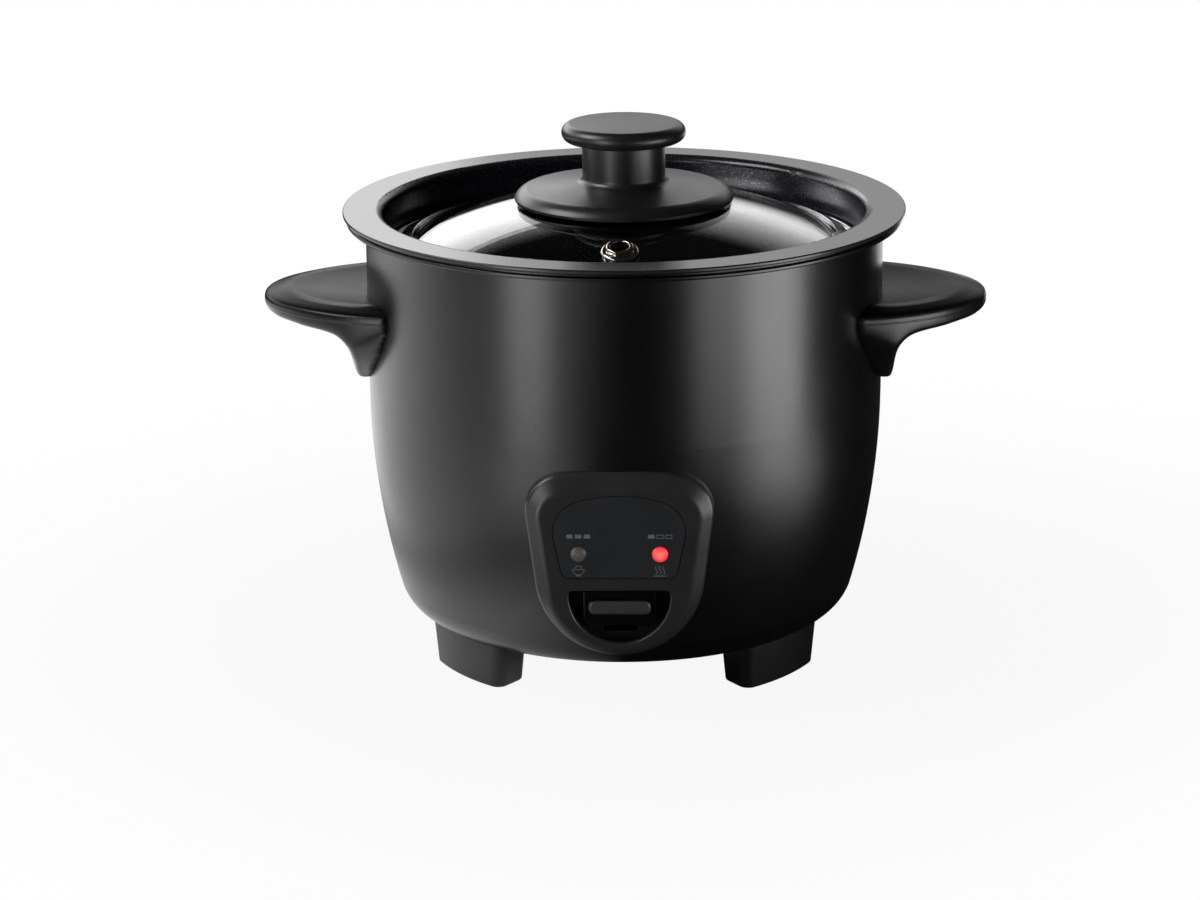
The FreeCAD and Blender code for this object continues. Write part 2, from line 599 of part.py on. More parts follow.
def pad(body, name, role, outline, length, offset="0", reverse=False):
    """Pads an outline, given as corners or as one (x, y, radius) circle."""
    sketch = new_sketch(body, f"{name}_outline", role, offset)
    draw(sketch, outline)
    feature = add_feature(body, "Pad", name, sketch)
    feature.Reversed = reverse
    bind(feature, "Length", length)
    return feature


def pocket(body, name, role, outline, length, offset="0", reverse=False, both_ways=False):
    """Cuts an outline out of the body and stops if nothing was cut."""
    doc.recompute()
    before = body.Shape.Volume
    sketch = new_sketch(body, f"{name}_outline", role, offset)
    draw(sketch, outline)
    feature = add_feature(body, "Pocket", name, sketch)
    feature.Reversed = reverse
    if both_ways:
        feature.SideType = "Symmetric"
    bind(feature, "Length", length)
    doc.recompute()
    if body.Shape.Volume >= before:
        raise RuntimeError(f"{name} cut nothing")
    return feature


def draw(sketch, outline):
    if isinstance(outline, tuple):
        trace_circle(sketch, *outline)
    else:
        trace(sketch, outline)


def polar(body, name, feature, count, angle="360"):
    pattern = body.newObject("PartDesign::PolarPattern", name)
    pattern.Originals = [feature]
    pattern.Axis = (feature.Profile[0], ["N_Axis"])
    bind(pattern, "Angle", angle)
    bind(pattern, "Occurrences", count)
    body.Tip = pattern
    return pattern


def round_edges(body, name, radius, pick):
    """Rounds the edges that pick chooses."""
    doc.recompute()
    base = body.Tip
    chosen = [f"Edge{n}" for n, edge in enumerate(base.Shape.Edges, start=1) if pick(edge)]
    if not chosen:
        raise RuntimeError(f"{name} found no edge")
    feature = body.newObject("PartDesign::Fillet", name)
    feature.Base = (base, chosen)
    bind(feature, "Radius", radius)
    body.Tip = feature


NEAR = 0.01


def ring_at(radius, height):
    """Chooses the circle of that radius at that height."""
    wanted_radius = value(radius)
    wanted_height = value(height)

    def pick(edge):
        if edge.Degenerated or not isinstance(edge.Curve, Part.Circle):
            return False
        near_radius = abs(edge.Curve.Radius - wanted_radius) < NEAR
        return near_radius and abs(edge.Curve.Center.z - wanted_height) < NEAR

    return pick


def flat_at(axis, place):
    """Chooses the edges that lie wholly at one coordinate along an axis."""
    wanted = value(place)

    def pick(edge):
        box = edge.BoundBox
        low = getattr(box, f"{axis}Min")
        high = getattr(box, f"{axis}Max")
        return abs(low - wanted) < NEAR and abs(high - wanted) < NEAR

    return pick


def any_of(*picks):
    return lambda edge: any(pick(edge) for pick in picks)


def put(thing, x="0", y="0", z="0", axis=UP, angle=None, way=UP):
    """Places a piece: its upright laid along way, or turned by angle about axis, then moved."""
    turn = Rotation(axis, value(angle)) if angle else Rotation(UP, way)
    thing.Placement = Placement(Vector(value(x), value(y), value(z)), turn)
    for letter, text in zip("xyz", (x, y, z)):
        if text != "0":
            bind(thing, f"Placement.Base.{letter}", text)
    if angle:
        bind(thing, "Placement.Rotation.Angle", angle)
    return thing


def box(label, low, high):
    """A box between two corners, each three expressions."""
    block = doc.addObject("Part::Box", label)
    for setting, start, end in zip(("Length", "Width", "Height"), low, high):
        bind(block, setting, f"({end}) - ({start})")
    return put(block, *low)


def rod(label, radius, length, x="0", y="0", z="0", **turned_by):
    """A cylinder that starts at a point and runs up, or as put turns it."""
    cylinder = doc.addObject("Part::Cylinder", label)
    bind(cylinder, "Radius", radius)
    bind(cylinder, "Height", length)
    return put(cylinder, x, y, z, **turned_by)


def group(label, things):
    compound = doc.addObject("Part::Compound", label)
    compound.Links = things
    return compound


def joined(label, *things):
    fusion = doc.addObject("Part::MultiFuse", label)
    fusion.Shapes = list(things)
    return fusion


def without(label, base, *tools):
    """The base with the tools taken out of it."""
    doc.recompute()
    cut = doc.addObject("Part::Cut", label)
    cut.Base = base
    cut.Tool = tools[0] if len(tools) == 1 else group(f"{label}_tools", list(tools))
    doc.recompute()
    if cut.Shape.Volume >= base.Shape.Volume:
        raise RuntimeError(f"{label} lost nothing")
    return cut


def small_screw(label, bite="screw_bite"):
    """A pan-head screw, its head's seat at height 0 and its shank upwards."""
    return turned(label, [
        ("0", minus("screw_head_height")),
        ("screw_head_radius - screw_head_bevel", minus("screw_head_height")),
        ("screw_head_radius", minus("screw_head_height - screw_head_bevel")),
        ("screw_head_radius", "0"),
        ("screw_radius", "0"),
        ("screw_radius", bite),
        ("0", bite),
    ])


def arc_point(centre_x, centre_z, radius, x_share, z_share):
    return f"{centre_x} + ({radius}) * ({x_share})", f"{centre_z} + ({radius}) * ({z_share})"


# Outer shell


def shell_outline(grow):
    """The outside of the shell from its bottom to its lip, grown by a clearance."""
    heel = f"(shell_heel + {grow})"
    belly = f"(shell_belly + {grow})"
    return [
        ("heel_r", f"foot_height - {grow}"),
        (f"belly_r + {belly} * join_cos", f"bend_z - {belly} * join_sin", heel, "left"),
        (f"shell_radius + {grow}", "bend_z", belly, "left"),
    ]


def shell_space(label, grow):
    """A solid that fills the shell's outside, to cut what is seated on it."""
    return turned(label, [
        ("0", f"foot_height - {grow}"),
        *shell_outline(grow),
        (f"shell_radius + {grow}", "lip_top"),
        ("0", "lip_top"),
    ])


def make_shell_blank():
    belly = "(shell_belly - shell_wall)"
    body = turned("outer_shell_blank", [
        ("base_opening", "foot_height"),
        *shell_outline("0"),
        ("shell_radius", "lip_low"),
        ("lip_radius", "lip_low"),
        ("lip_radius", "lip_top"),
        ("shell_inside", "lip_top"),
        ("shell_inside", "bend_z"),
        (f"belly_r + {belly} * join_cos", f"bend_z - {belly} * join_sin", belly, "right"),
        ("heel_r", "foot_height + shell_wall", "shell_heel - shell_wall", "right"),
        ("base_opening", "foot_height + shell_wall"),
    ])
    lip_edges = any_of(ring_at("lip_radius", "lip_low"), ring_at("lip_radius", "lip_top"))
    round_edges(body, "lip_rounding", "lip_round", lip_edges)
    round_edges(body, "lip_fillet", "lip_throat", ring_at("shell_radius", "lip_low"))
    return body


def shield(flat, low_centre, low_radius, flare, x, z, high_radius, arch, inset):
    """A shield outline: round or flat foot, leaning sides, round shoulders, arched top."""
    low = f"({low_radius} - ({inset}))"
    high = f"({high_radius} - ({inset}))"
    side = (f"cos({flare})", minus(f"sin({flare})"))
    top = (f"sin({arch})", f"cos({arch})")
    low_x, low_z = arc_point(flat, low_centre, low, *side)
    side_x, side_z = arc_point(x, z, high, *side)
    top_x, top_z = arc_point(x, z, high, *top)
    crown = f"({x} / sin({arch}) + {high})"
    bottom = f"{low_centre} - {low}"
    corners = [(minus(low_x), low_z), (minus(flat), bottom, low, "left")]
    if flat != "0":
        corners.append((flat, bottom))
    corners += [
        (low_x, low_z, low, "left"),
        (side_x, side_z),
        (top_x, top_z, high, "left"),
        (minus(top_x), top_z, crown, "left"),
        (minus(side_x), side_z, high, "left"),
    ]
    return corners


def panel_outline():
    """The panel's outline on the shell."""
    return shield("0", "chin_z", "chin_radius", "panel_flare", "panel_x", "panel_z", "panel_corner",
                  "panel_arch", "0")


def face_outline(inset):
    """The outline of the panel's face, or of the hollow behind it."""
    return shield("0", "face_chin_z", "chin_radius", "panel_flare", "face_x", "face_z", "panel_corner",
                  "panel_arch", f"face_inset + {inset}")


def label_outline(inset):
    return shield("label_flat", "label_low + label_corner", "label_corner", "label_flare",
                  "label_x", "label_z", "label_shoulder", "label_arch", inset)


def cut_shell(blank):
    """The shell with its window, inlet hole and screw holes."""
    window = new_body("panel_window")
    pad(window, "panel_window_pad", "XZ_Plane", face_outline("panel_side"),
        "panel_face / 2", "panel_face / 2")
    inlet_hole = box("inlet_hole",
                     (minus("inlet_box_half + fit_gap"), "inlet_back",
                      "inlet_z - inlet_box_half_height - fit_gap"),
                     ("inlet_box_half + fit_gap", "inlet_face",
                      "inlet_z + inlet_box_half_height + fit_gap"))
    tools = [window, inlet_hole]
    for name, angle in FEET:
        tools.append(rod(f"{name}_hole", "screw_radius + fit_gap", "foot_height",
                         f"foot_screw_ring * cos({angle})", f"foot_screw_ring * sin({angle})",
                         "foot_height / 2"))
    for number, angle in enumerate(COVER_SCREWS):
        tools.append(rod(f"cover_hole_{number}", "screw_radius + fit_gap", "foot_height",
                         f"cover_screw_ring * cos({angle})", f"cover_screw_ring * sin({angle})",
                         "foot_height / 2"))
    for name, way, *_ in HANDLES:
        for end in ("", "-"):
            tools.append(rod(f"{name}_hole{end or '_'}", "screw_radius + fit_gap", "shell_radius",
                             "0", f"{end}handle_screw_side", "handle_screw_z", way=way))
    return without("outer_shell", blank, *tools)


FEET = [
    ("foot_front_right", "-90 + foot_angle"),
    ("foot_rear_right", "90 - foot_angle"),
    ("foot_rear_left", "90 + foot_angle"),
    ("foot_front_left", "270 - foot_angle"),
]
COVER_SCREWS = ("90", "210", "330")
HANDLES = [("handle_right", RIGHT, "0"), ("handle_left", LEFT, "180")]


# Liner, heating plate and keep-warm band


def make_liner():
    can_out = "liner_can + liner_wall"
    collar_out = "liner_collar + liner_wall"
    body = turned("inner_liner_blank", [
        ("floor_hole", "floor_under"),
        (can_out, "floor_under"),
        (can_out, "liner_step - liner_wall"),
        (collar_out, "liner_step - liner_wall"),
        (collar_out, "lip_top"),
        ("liner_flange", "lip_top"),
        ("liner_flange", "liner_top"),
        ("liner_collar", "liner_top"),
        ("liner_collar", "liner_step"),
        ("liner_can", "liner_step"),
        ("liner_can", "floor_top"),
        ("floor_hole", "floor_top"),
    ])
    tools = []
    for number, angle in enumerate(TERMINALS):
        tools.append(rod(f"terminal_hole_{number}", "terminal_radius + terminal_room",
                         "heater_leg", f"bead_ring * cos({angle})",
                         f"bead_ring * sin({angle})", "floor_top - heater_leg / 2"))
    for number, angle in enumerate(LEGS):
        tools.append(rod(f"leg_hole_{number}", "screw_radius + fit_gap", "heater_leg",
                         f"heater_leg_ring * cos({angle})",
                         f"heater_leg_ring * sin({angle})", "floor_top - heater_leg / 2"))
    return without("inner_liner", body, *tools)


TERMINALS = ("90 - terminal_angle", "90 + terminal_angle")
LEGS = ("30", "150", "270")


def make_heating_plate():
    inner = "bead_ring - bead_radius"
    outer = "bead_ring + bead_radius"
    body = turned("heating_plate", [
        ("heater_hole", "heater_low"),
        (inner, "heater_low"),
        ("bead_ring", "heater_low - bead_radius", "bead_radius", "left"),
        (outer, "heater_low", "bead_radius", "left"),
        ("heater_radius", "heater_low"),
        ("heater_radius", "pot_bottom"),
        ("heater_hole", "pot_bottom"),
    ])
    round_edges(body, "heater_rounding", "heater_edge", ring_at("heater_radius", "pot_bottom"))
    for number, angle in enumerate(LEGS):
        spot = (f"heater_leg_ring * cos({angle})", f"heater_leg_ring * sin({angle})")
        pad(body, f"heater_leg_{number}", "XY_Plane", (*spot, "heater_leg_radius"),
            "heater_leg + fit_gap", "floor_top")
        pocket(body, f"heater_leg_bore_{number}", "XY_Plane", (*spot, "screw_radius + fit_gap"),
               "screw_bite", "floor_top", reverse=True)
    return body


def screws_at(label, angles, ring, z):
    """Screws pointing up, set round the middle on one ring."""
    screws = []
    for number, angle in enumerate(angles):
        screw = small_screw(f"{label}_{number}", "screw_bite - fit_gap")
        screws.append(put(screw, f"{ring} * cos({angle})", f"{ring} * sin({angle})", z))
    return group(label, screws)


def make_terminals():
    pins = []
    for number, angle in enumerate(TERMINALS):
        pins.append(rod(f"heater_terminal_{number}", "terminal_radius", "terminal_length",
                        f"bead_ring * cos({angle})", f"bead_ring * sin({angle})", "terminal_low"))
    return group("heater_terminals", pins)


def make_warm_band():
    inside = "liner_can + liner_wall + fit_gap"
    low = "pot_bottom + warm_band_rise"
    body = turned("keep_warm_band", [
        (inside, low),
        (f"{inside} + warm_band_wall", low),
        (f"{inside} + warm_band_wall", f"{low} + warm_band_height"),
        (inside, f"{low} + warm_band_height"),
    ], "warm_band_sweep")
    return put(body, angle="90 + (360 - warm_band_sweep) / 2")


# Sensor and plunger


def make_sensor_cap():
    inside = "sensor_cap_radius - sensor_cap_wall"
    low = "sensor_top - sensor_cap_height"
    body = turned("sensor_cap", [
        (inside, low),
        ("sensor_cap_radius", low),
        ("sensor_cap_radius", "sensor_top"),
        ("0", "sensor_top"),
        ("0", "ferrite_top"),
        (inside, "ferrite_top"),
    ])
    round_edges(body, "sensor_cap_rounding", "sensor_cap_wall", ring_at("sensor_cap_radius", "sensor_top"))
    return body


def disc(label, radius, low, high, hole="0"):
    return turned(label, [(hole, low), (radius, low), (radius, high), (hole, high)])


def make_sensor_base():
    inside = "guide_tube_radius - guide_tube_wall"
    top = "floor_under + guide_tube_height"
    return turned("sensor_base", [
        ("rod_hole", "floor_under - guide_sheet"),
        ("guide_flange", "floor_under - guide_sheet"),
        ("guide_flange", "floor_under"),
        ("guide_tube_radius", "floor_under"),
        ("guide_tube_radius", top),
        (inside, top),
        (inside, "floor_under"),
        ("rod_hole", "floor_under"),
    ])


def make_magnet():
    return turned("latch_magnet", [
        ("0", "magnet_low"),
        ("magnet_flange", "magnet_low"),
        ("magnet_flange", "magnet_low + magnet_flange_thickness"),
        ("magnet_radius", "magnet_low + magnet_flange_thickness"),
        ("magnet_radius", "magnet_top"),
        ("0", "magnet_top"),
    ])


def make_plunger_rod():
    body = disc("plunger_rod", "rod_radius", "rod_low", "magnet_low")
    round_edges(body, "plunger_rounding", "rod_radius / 2", ring_at("rod_radius", "rod_low"))
    return body


def unit(vector):
    return Vector(vector).normalize()


def arc_from(start, direction, end):
    """The arc that leaves start along direction and reaches end."""
    chord = end - start
    along = unit(chord)
    lean = direction.dot(along)
    side = direction - along * lean
    swing = math.acos(max(-1, min(1, lean)))
    middle = (start + end) / 2 + unit(side) * (chord.Length / 2 * math.tan(swing / 2))
    return Part.Arc(start, middle, end).toShape()


def biarc(start, start_way, end, end_way):
    """Two arcs that leave and arrive along the given ways and touch in between."""
    span = end - start
    both = start_way + end_way
    bend = 2 * (1 - start_way.dot(end_way))
    lead = -span.dot(both)
    reach = (lead + math.sqrt(lead ** 2 + bend * span.dot(span))) / bend
    meeting = (start + start_way * reach + end - end_way * reach) / 2
    return [arc_from(start, start_way, meeting), arc_from(end, end_way * -1, meeting)]


def sweep(path, section):
    """The solid that a section makes along a path."""
    pipe = Part.BRepOffsetAPI.MakePipeShell(path)
    pipe.add(section)
    pipe.build()
    pipe.makeSolid()
    return pipe.shape()


def make_spring(label, radius, wire, low, high, turns):
    """A spring of round wire: quarter turns, each of two arcs, swept with a circle."""
    mean = value(radius)
    bottom = value(low)
    full_turn = 2 * math.pi
    quarter = full_turn / 4
    steps = round(value(turns) * full_turn / quarter)
    climb = (value(high) - bottom) / (steps * quarter)
    spots = []
    ways = []
    for step in range(steps + 1):
        angle = step * quarter
        spots.append(Vector(mean * math.cos(angle), mean * math.sin(angle), bottom + climb * angle))
        ways.append(unit(Vector(-mean * math.sin(angle), mean * math.cos(angle), climb)))
    edges = []
    for step in range(steps):
        edges += biarc(spots[step], ways[step], spots[step + 1], ways[step + 1])
    path = Part.Wire(Part.__sortEdges__(edges))
    section = Part.Wire(Part.makeCircle(value(wire) / 2, spots[0], ways[0]))
    spring = doc.addObject("Part::Feature", label)
    spring.Shape = sweep(path, section)
    print(f"{label}: least gap between turns {climb * full_turn - value(wire):.2f} mm")
    return spring


# Pot


def make_pot():
    """The pot's bowl, and the rim that is clinched on it under the ledge."""
    mouth_out = "pot_mouth + pot_wall"
    well_out = "pot_well + pot_wall"
    floor_out = "pot_floor + pot_wall"
    inside_floor = "pot_bottom + pot_wall"
    body = turned("pot_blank", [
        ("0", "pot_bottom"),
        (floor_out, "pot_bottom"),
        (well_out, "ledge_top - pot_wall"),
        (mouth_out, "ledge_top - pot_wall"),
        (mouth_out, "flange_under"),
        ("pot_flange", "flange_under"),
        ("pot_flange", "flange_top"),
        ("pot_mouth", "flange_top"),
        ("pot_mouth", "ledge_top"),
        ("pot_well", "ledge_top"),
        ("pot_floor", inside_floor),
        ("0", inside_floor),
    ])
    round_edges(body, "pot_corner_inside", "pot_corner", ring_at("pot_floor", inside_floor))
    round_edges(body, "pot_corner_outside", "pot_corner + pot_wall", ring_at(floor_out, "pot_bottom"))
    round_edges(body, "pot_brim_inside", "pot_brim", ring_at("pot_mouth", "flange_top"))
    round_edges(body, "pot_brim_outside", "pot_brim - pot_wall", ring_at(mouth_out, "flange_under"))
    ledge_edges = any_of(ring_at("pot_mouth", "ledge_top"), ring_at("pot_well", "ledge_top"),
                         ring_at(mouth_out, "ledge_top - pot_wall"))
    round_edges(body, "pot_ledge_rounding", "pot_ledge_round", ledge_edges)
    edge = any_of(ring_at("pot_flange", "flange_under"), ring_at("pot_flange", "flange_top"))
    round_edges(body, "pot_flange_rounding", "pot_wall * edge_share", edge)
    beyond = "2 * pot_flange"
    above = disc("above_pot_seam", beyond, "pot_seam", "lip_top + pot_flange")
    below = disc("below_pot_seam", beyond, "0", "pot_seam")
    return [without("inner_pot", body, above), without("pot_rim", body, below)]


# Lid


def dome_at(radius, sphere):
    return f"dome_centre + sqrt(({sphere}) ^ 2 - ({radius}) ^ 2)"


def dome_shell(label, inner, outer, low_sphere, high_sphere):
    """A ring of the dome between two radii and two spheres about the dome's centre."""
    return turned(label, [
        (inner, dome_at(inner, low_sphere)),
        (outer, dome_at(outer, low_sphere), low_sphere, "right"),
        (outer, dome_at(outer, high_sphere)),
        (inner, dome_at(inner, high_sphere), high_sphere, "left"),
    ])


def make_glass():
    dome = dome_shell("lid_dome", "knob_hole", "glass_radius", "dome_inside", "dome_radius")
    drill = rod("vent_drill", "vent_tube + fit_gap", "glass_thickness * 4",
                "0", "-vent_reach + 2 * glass_thickness * sin(vent_tilt)",
                "vent_z - 2 * glass_thickness * cos(vent_tilt)", axis=RIGHT, angle="vent_tilt")
    return without("lid_glass", dome, drill)


def make_band():
    step = "band_seat + band_wall"
    lean = "band_flange - band_wall"
    body = turned("lid_band", [
        ("band_flange", "band_seat"),
        ("band_flange", "band_seat + band_bead"),
        (lean, "band_seat + band_bead"),
        (lean, step),
        ("band_skirt", step),
        ("band_skirt", "hem_top_edge + band_wall / 2"),
        ("band_skirt_inside", "hem_top_edge + band_wall"),
        ("band_reach", "hem_top + band_wall"),
        ("band_reach", "hem_top"),
        ("band_skirt_inside", "hem_top_edge"),
        ("band_skirt_inside", "hem_low_edge"),
        ("band_reach", "hem_low"),
        ("band_reach", "hem_low - band_wall"),
        ("band_skirt", "hem_low_edge - band_wall"),
        ("band_skirt", "band_seat"),
    ])
    bead = any_of(ring_at("band_flange", "band_seat + band_bead"), ring_at(lean, "band_seat + band_bead"))
    round_edges(body, "band_rounding", "band_wall * edge_share", bead)
    return body


def make_vent():
    """The eyelet stands square on the glass, so it is turned by the slope of the dome there."""
    under = "-glass_thickness - 2 * fit_gap"
    neck = "vent_ring - vent_round / 2"
    body = turned("steam_vent", [
        ("vent_bore", f"{under} - vent_sheet"),
        ("vent_flange", f"{under} - vent_sheet"),
        ("vent_flange", under),
        ("vent_tube", under),
        ("vent_tube", "fit_gap"),
        ("vent_flange", "fit_gap"),
        ("vent_flange", "fit_gap + vent_skirt"),
        (neck, "fit_gap + vent_skirt"),
        (neck, "vent_height - 2 * vent_round"),
        ("vent_ring", "vent_height - vent_round", "vent_round * 2", "right"),
        ("vent_ring - vent_round", "vent_height", "vent_round", "left"),
        ("vent_bore", "vent_height"),
    ])
    round_edges(body, "vent_bore_rounding", "vent_mouth_round", ring_at("vent_bore", "vent_height"))
    round_edges(body, "vent_flange_rounding", "vent_skirt_round",
                ring_at("vent_flange", "fit_gap + vent_skirt"))
    return put(body, "0", "-vent_reach", "vent_z", axis=RIGHT, angle="vent_tilt")


def make_collar():
    body = turned("knob_collar", [
        ("knob_hole", dome_at("knob_hole", "collar_under")),
        ("collar_radius", "collar_low", "collar_under", "right"),
        ("collar_radius", "collar_low + collar_edge"),
        ("collar_shoulder", "collar_top", "collar_round", "left"),
        ("neck_radius + collar_throat", "collar_top + collar_slope"),
        ("neck_radius", "neck_low", "collar_throat", "right"),
        ("knob_hole", "neck_low"),
    ])
    return body


def make_grip():
    body = turned("knob_grip", [
        ("0", "knob_hole_top"),
        ("knob_hole", "knob_hole_top"),
        ("knob_hole", "neck_low"),
        ("neck_radius", "neck_low"),
        ("neck_radius", "cap_low"),
        ("cap_flat", "cap_low"),
        ("cap_radius", "cap_low + cap_edge", "cap_edge", "left"),
        ("cap_flat", "cap_low + 2 * cap_edge", "cap_edge", "left"),
        ("0", "cap_top", "cap_swell", "left"),
    ])
    round_edges(body, "cap_fillet", "cap_throat", ring_at("neck_radius", "cap_low"))
    return body


def make_gasket():
    return dome_shell("knob_gasket", "knob_hole", "gasket_radius", "dome_radius + fit_gap / 2",
                      "collar_under - fit_gap / 2")


def make_knob_screw():
    return turned("knob_screw", [
        ("0", "washer_low - knob_head_height"),
        ("knob_head_radius - knob_head_bevel", "washer_low - knob_head_height"),
        ("knob_head_radius", "washer_low - knob_head_height + knob_head_bevel"),
        ("knob_head_radius", "washer_low"),
        ("knob_screw_radius", "washer_low"),
        ("knob_screw_radius", "knob_hole_top - fit_gap"),
        ("0", "knob_hole_top - fit_gap"),
    ])


# Handles


def tongue(inset):
    """The handle seen from above: straight sides inside the shell, then rounds to the tip."""
    half = f"handle_half - ({inset})"
    side = f"handle_side_round - ({inset})"
    tip = f"handle_tip_round - ({inset})"
    turn_x, turn_y = arc_point("tip_centre", "0", tip, "cos(handle_tip_angle)", "sin(handle_tip_angle)")
    return [
        ("0", minus(half)),
        ("side_centre", minus(half)),
        (turn_x, minus(turn_y), side, "left"),
        (turn_x, turn_y, tip, "left"),
        ("side_centre", half, side, "left"),
        ("0", half),
    ]


def make_handle(label, way, turn, envelope):
    """A tongue with a sloping border on a leg, seated on the shell."""
    body = new_body(f"{label}_blank")
    pad(body, f"{label}_tongue", "XY_Plane", tongue("0"), "handle_crest")
    far = "2 * handle_tip"
    pocket(body, f"{label}_leg_outline", "YZ_Plane", [
        (minus(far), "0"),
        (far, "0"),
        (far, "leg_bowl_z"),
        ("handle_half", "leg_bowl_z"),
        ("-handle_half", "leg_bowl_z", "leg_bowl", "right"),
        (minus(far), "leg_bowl_z"),
    ], "4 * handle_tip", both_ways=True)
    crest = new_sketch(body, f"{label}_crest_outline", "XY_Plane", "handle_crest")
    trace(crest, tongue("0"))
    top = new_sketch(body, f"{label}_top_outline", "XY_Plane", "handle_top")
    trace(top, tongue("handle_border"))
    loft = add_feature(body, "AdditiveLoft", f"{label}_border", crest)
    loft.Sections = [top]
    loft.Ruled = True
    top.Visibility = False
    lean = ("sin(leg_lean)", "cos(leg_lean)")
    slope = ("cos(grip_slope)", "sin(grip_slope)")
    start_x, start_z = arc_point("leg_cross_x", "leg_cross_z", minus("grip_tangent"), *lean)
    end_x, end_z = arc_point("leg_cross_x", "leg_cross_z", "grip_tangent", *slope)
    pocket(body, f"{label}_underside", "XZ_Plane", [
        ("leg_foot_x - handle_low * tan(leg_lean)", "0"),
        (start_x, start_z),
        (end_x, end_z, "grip_bend", "right"),
        (far, "grip_tip + handle_tip * tan(grip_slope)"),
        (far, "0"),
    ], "4 * handle_tip", both_ways=True)
    outside = value("shell_radius")
    crest_line = flat_at("Z", "handle_crest")
    top_line = flat_at("Z", "handle_top")
    round_edges(body, f"{label}_edge", "handle_edge",
                lambda edge: crest_line(edge) and edge.BoundBox.XMax > outside)
    round_edges(body, f"{label}_ridge", "handle_ridge",
                lambda edge: top_line(edge) and edge.BoundBox.XMax > outside)
    round_edges(body, f"{label}_leg_edges", "leg_round", leg_edges)
    put(body, angle=turn)
    holes = [rod(f"{label}_bore{end or '_'}", "screw_radius + fit_gap", "shell_radius + screw_bite",
                 "0", f"{end}handle_screw_side", "handle_screw_z", way=way) for end in ("", "-")]
    return without(label, body, envelope, *holes)


def leg_edges(edge):
    """Chooses the edges where the cut underside meets the sides and the leg's lower outline."""
    box = edge.BoundBox
    under = box.ZMax < value("handle_crest") - value("handle_edge")
    return under and box.XMax > value("shell_radius") and box.ZLength > NEAR and box.YLength > NEAR


def make_handle_screws():
    """Screws that go out through the shell into the handles, their heads on the shell's inside."""
    screws = []
    seat = "sqrt(shell_inside ^ 2 - (handle_screw_side + screw_head_radius) ^ 2) - fit_gap"
    for name, way, turn in HANDLES:
        for end in ("", "-"):
            screw = small_screw(f"{name}_screw{end or '_'}", "screw_bite - fit_gap")
            put(screw, f"cos({turn}) * ({seat})", f"{end}handle_screw_side", "handle_screw_z", way=way)
            screws.append(screw)
    return group("handle_screws", screws)


# Panel


def make_bezel(envelope):
    body = new_body("panel_bezel_blank")
    pad(body, "panel_wall_pad", "XZ_Plane", panel_outline(), "panel_depth - panel_proud", "shell_radius",
        reverse=True)
    edge = new_sketch(body, "panel_edge_outline", "XZ_Plane", "shell_radius")
    trace(edge, panel_outline())
    face = new_sketch(body, "panel_face_outline", "XZ_Plane", "panel_face")
    trace(face, face_outline("0"))
    loft = add_feature(body, "AdditiveLoft", "panel_slope", edge)
    loft.Sections = [face]
    loft.Ruled = True
    face.Visibility = False
    round_edges(body, "panel_edge_rounding", "panel_edge", flat_at("Y", "-shell_radius"))
    round_edges(body, "panel_face_rounding", "panel_round", flat_at("Y", "-panel_face"))
    pocket(body, "panel_hollow_cut", "XZ_Plane", face_outline("panel_side"), "panel_depth", "panel_back")
    window = [
        ("-window_radius", "window_z", "window_corner", "left"),
        ("0", "window_z - window_radius", "window_radius", "left"),
        ("window_radius", "window_z", "window_radius", "left"),
        ("window_radius - window_corner", "window_top", "window_corner", "left"),
        ("-window_radius + window_corner", "window_top"),
    ]
    pocket(body, "key_window", "XZ_Plane", window, "2 * panel_wall", "panel_face")
    front = flat_at("Y", "-panel_face")
    window_edge = value("window_top") + NEAR
    window_side = value("window_radius") + NEAR
    round_edges(body, "window_rounding", "window_round",
                lambda edge: front(edge) and edge.BoundBox.ZMax < window_edge
                and edge.BoundBox.XMax < window_side and edge.BoundBox.XMin > -window_side)
    pocket(body, "label_seat", "XZ_Plane", label_outline("-label_gap"), "label_thickness", "panel_face")
    for number, sign in enumerate(("", "-")):
        pocket(body, f"lamp_bore_{number}", "XZ_Plane",
               (f"{sign}lamp_side", "lamp_z", "lamp_radius + fit_gap"), "2 * panel_wall", "panel_face")
        spot = (f"{sign}board_screw_side", "board_low + board_screw_rise")
        pad(body, f"board_boss_{number}", "XZ_Plane", (*spot, "board_boss"), "board_gap",
            "panel_back", reverse=True)
        pocket(body, f"board_bore_{number}", "XZ_Plane", (*spot, "screw_radius + fit_gap"),
               "screw_bite", "board_face", reverse=True)
    return without("panel_bezel", body, envelope)


def make_label():
    body = new_body("panel_label")
    pad(body, "label_pad", "XZ_Plane", label_outline("0"), "label_thickness", "panel_face", reverse=True)
    for number, sign in enumerate(("", "-")):
        pocket(body, f"label_lamp_hole_{number}", "XZ_Plane",
               (f"{sign}lamp_side", "lamp_z", "lamp_radius + fit_gap"), "label_thickness", "panel_face")
    return body


def make_lamp(label, sign):
    """A lens that looks forwards: its flange lies behind the face and its foot on the board."""
    flange = "panel_back - fit_gap"
    tip = "panel_face + lamp_proud"
    body = turned(label, [
        ("0", "board_face"),
        ("lamp_radius", "board_face"),
        ("lamp_radius", f"{flange} - lamp_flange_thickness"),
        ("lamp_flange", f"{flange} - lamp_flange_thickness"),
        ("lamp_flange", flange),
        ("lamp_radius", flange),
        ("lamp_radius", "panel_face"),
        ("0", tip, "(lamp_radius ^ 2 + lamp_proud ^ 2) / (2 * lamp_proud)", "left"),
    ])
    return put(body, f"{sign}lamp_side", "0", "lamp_z", way=FRONT)


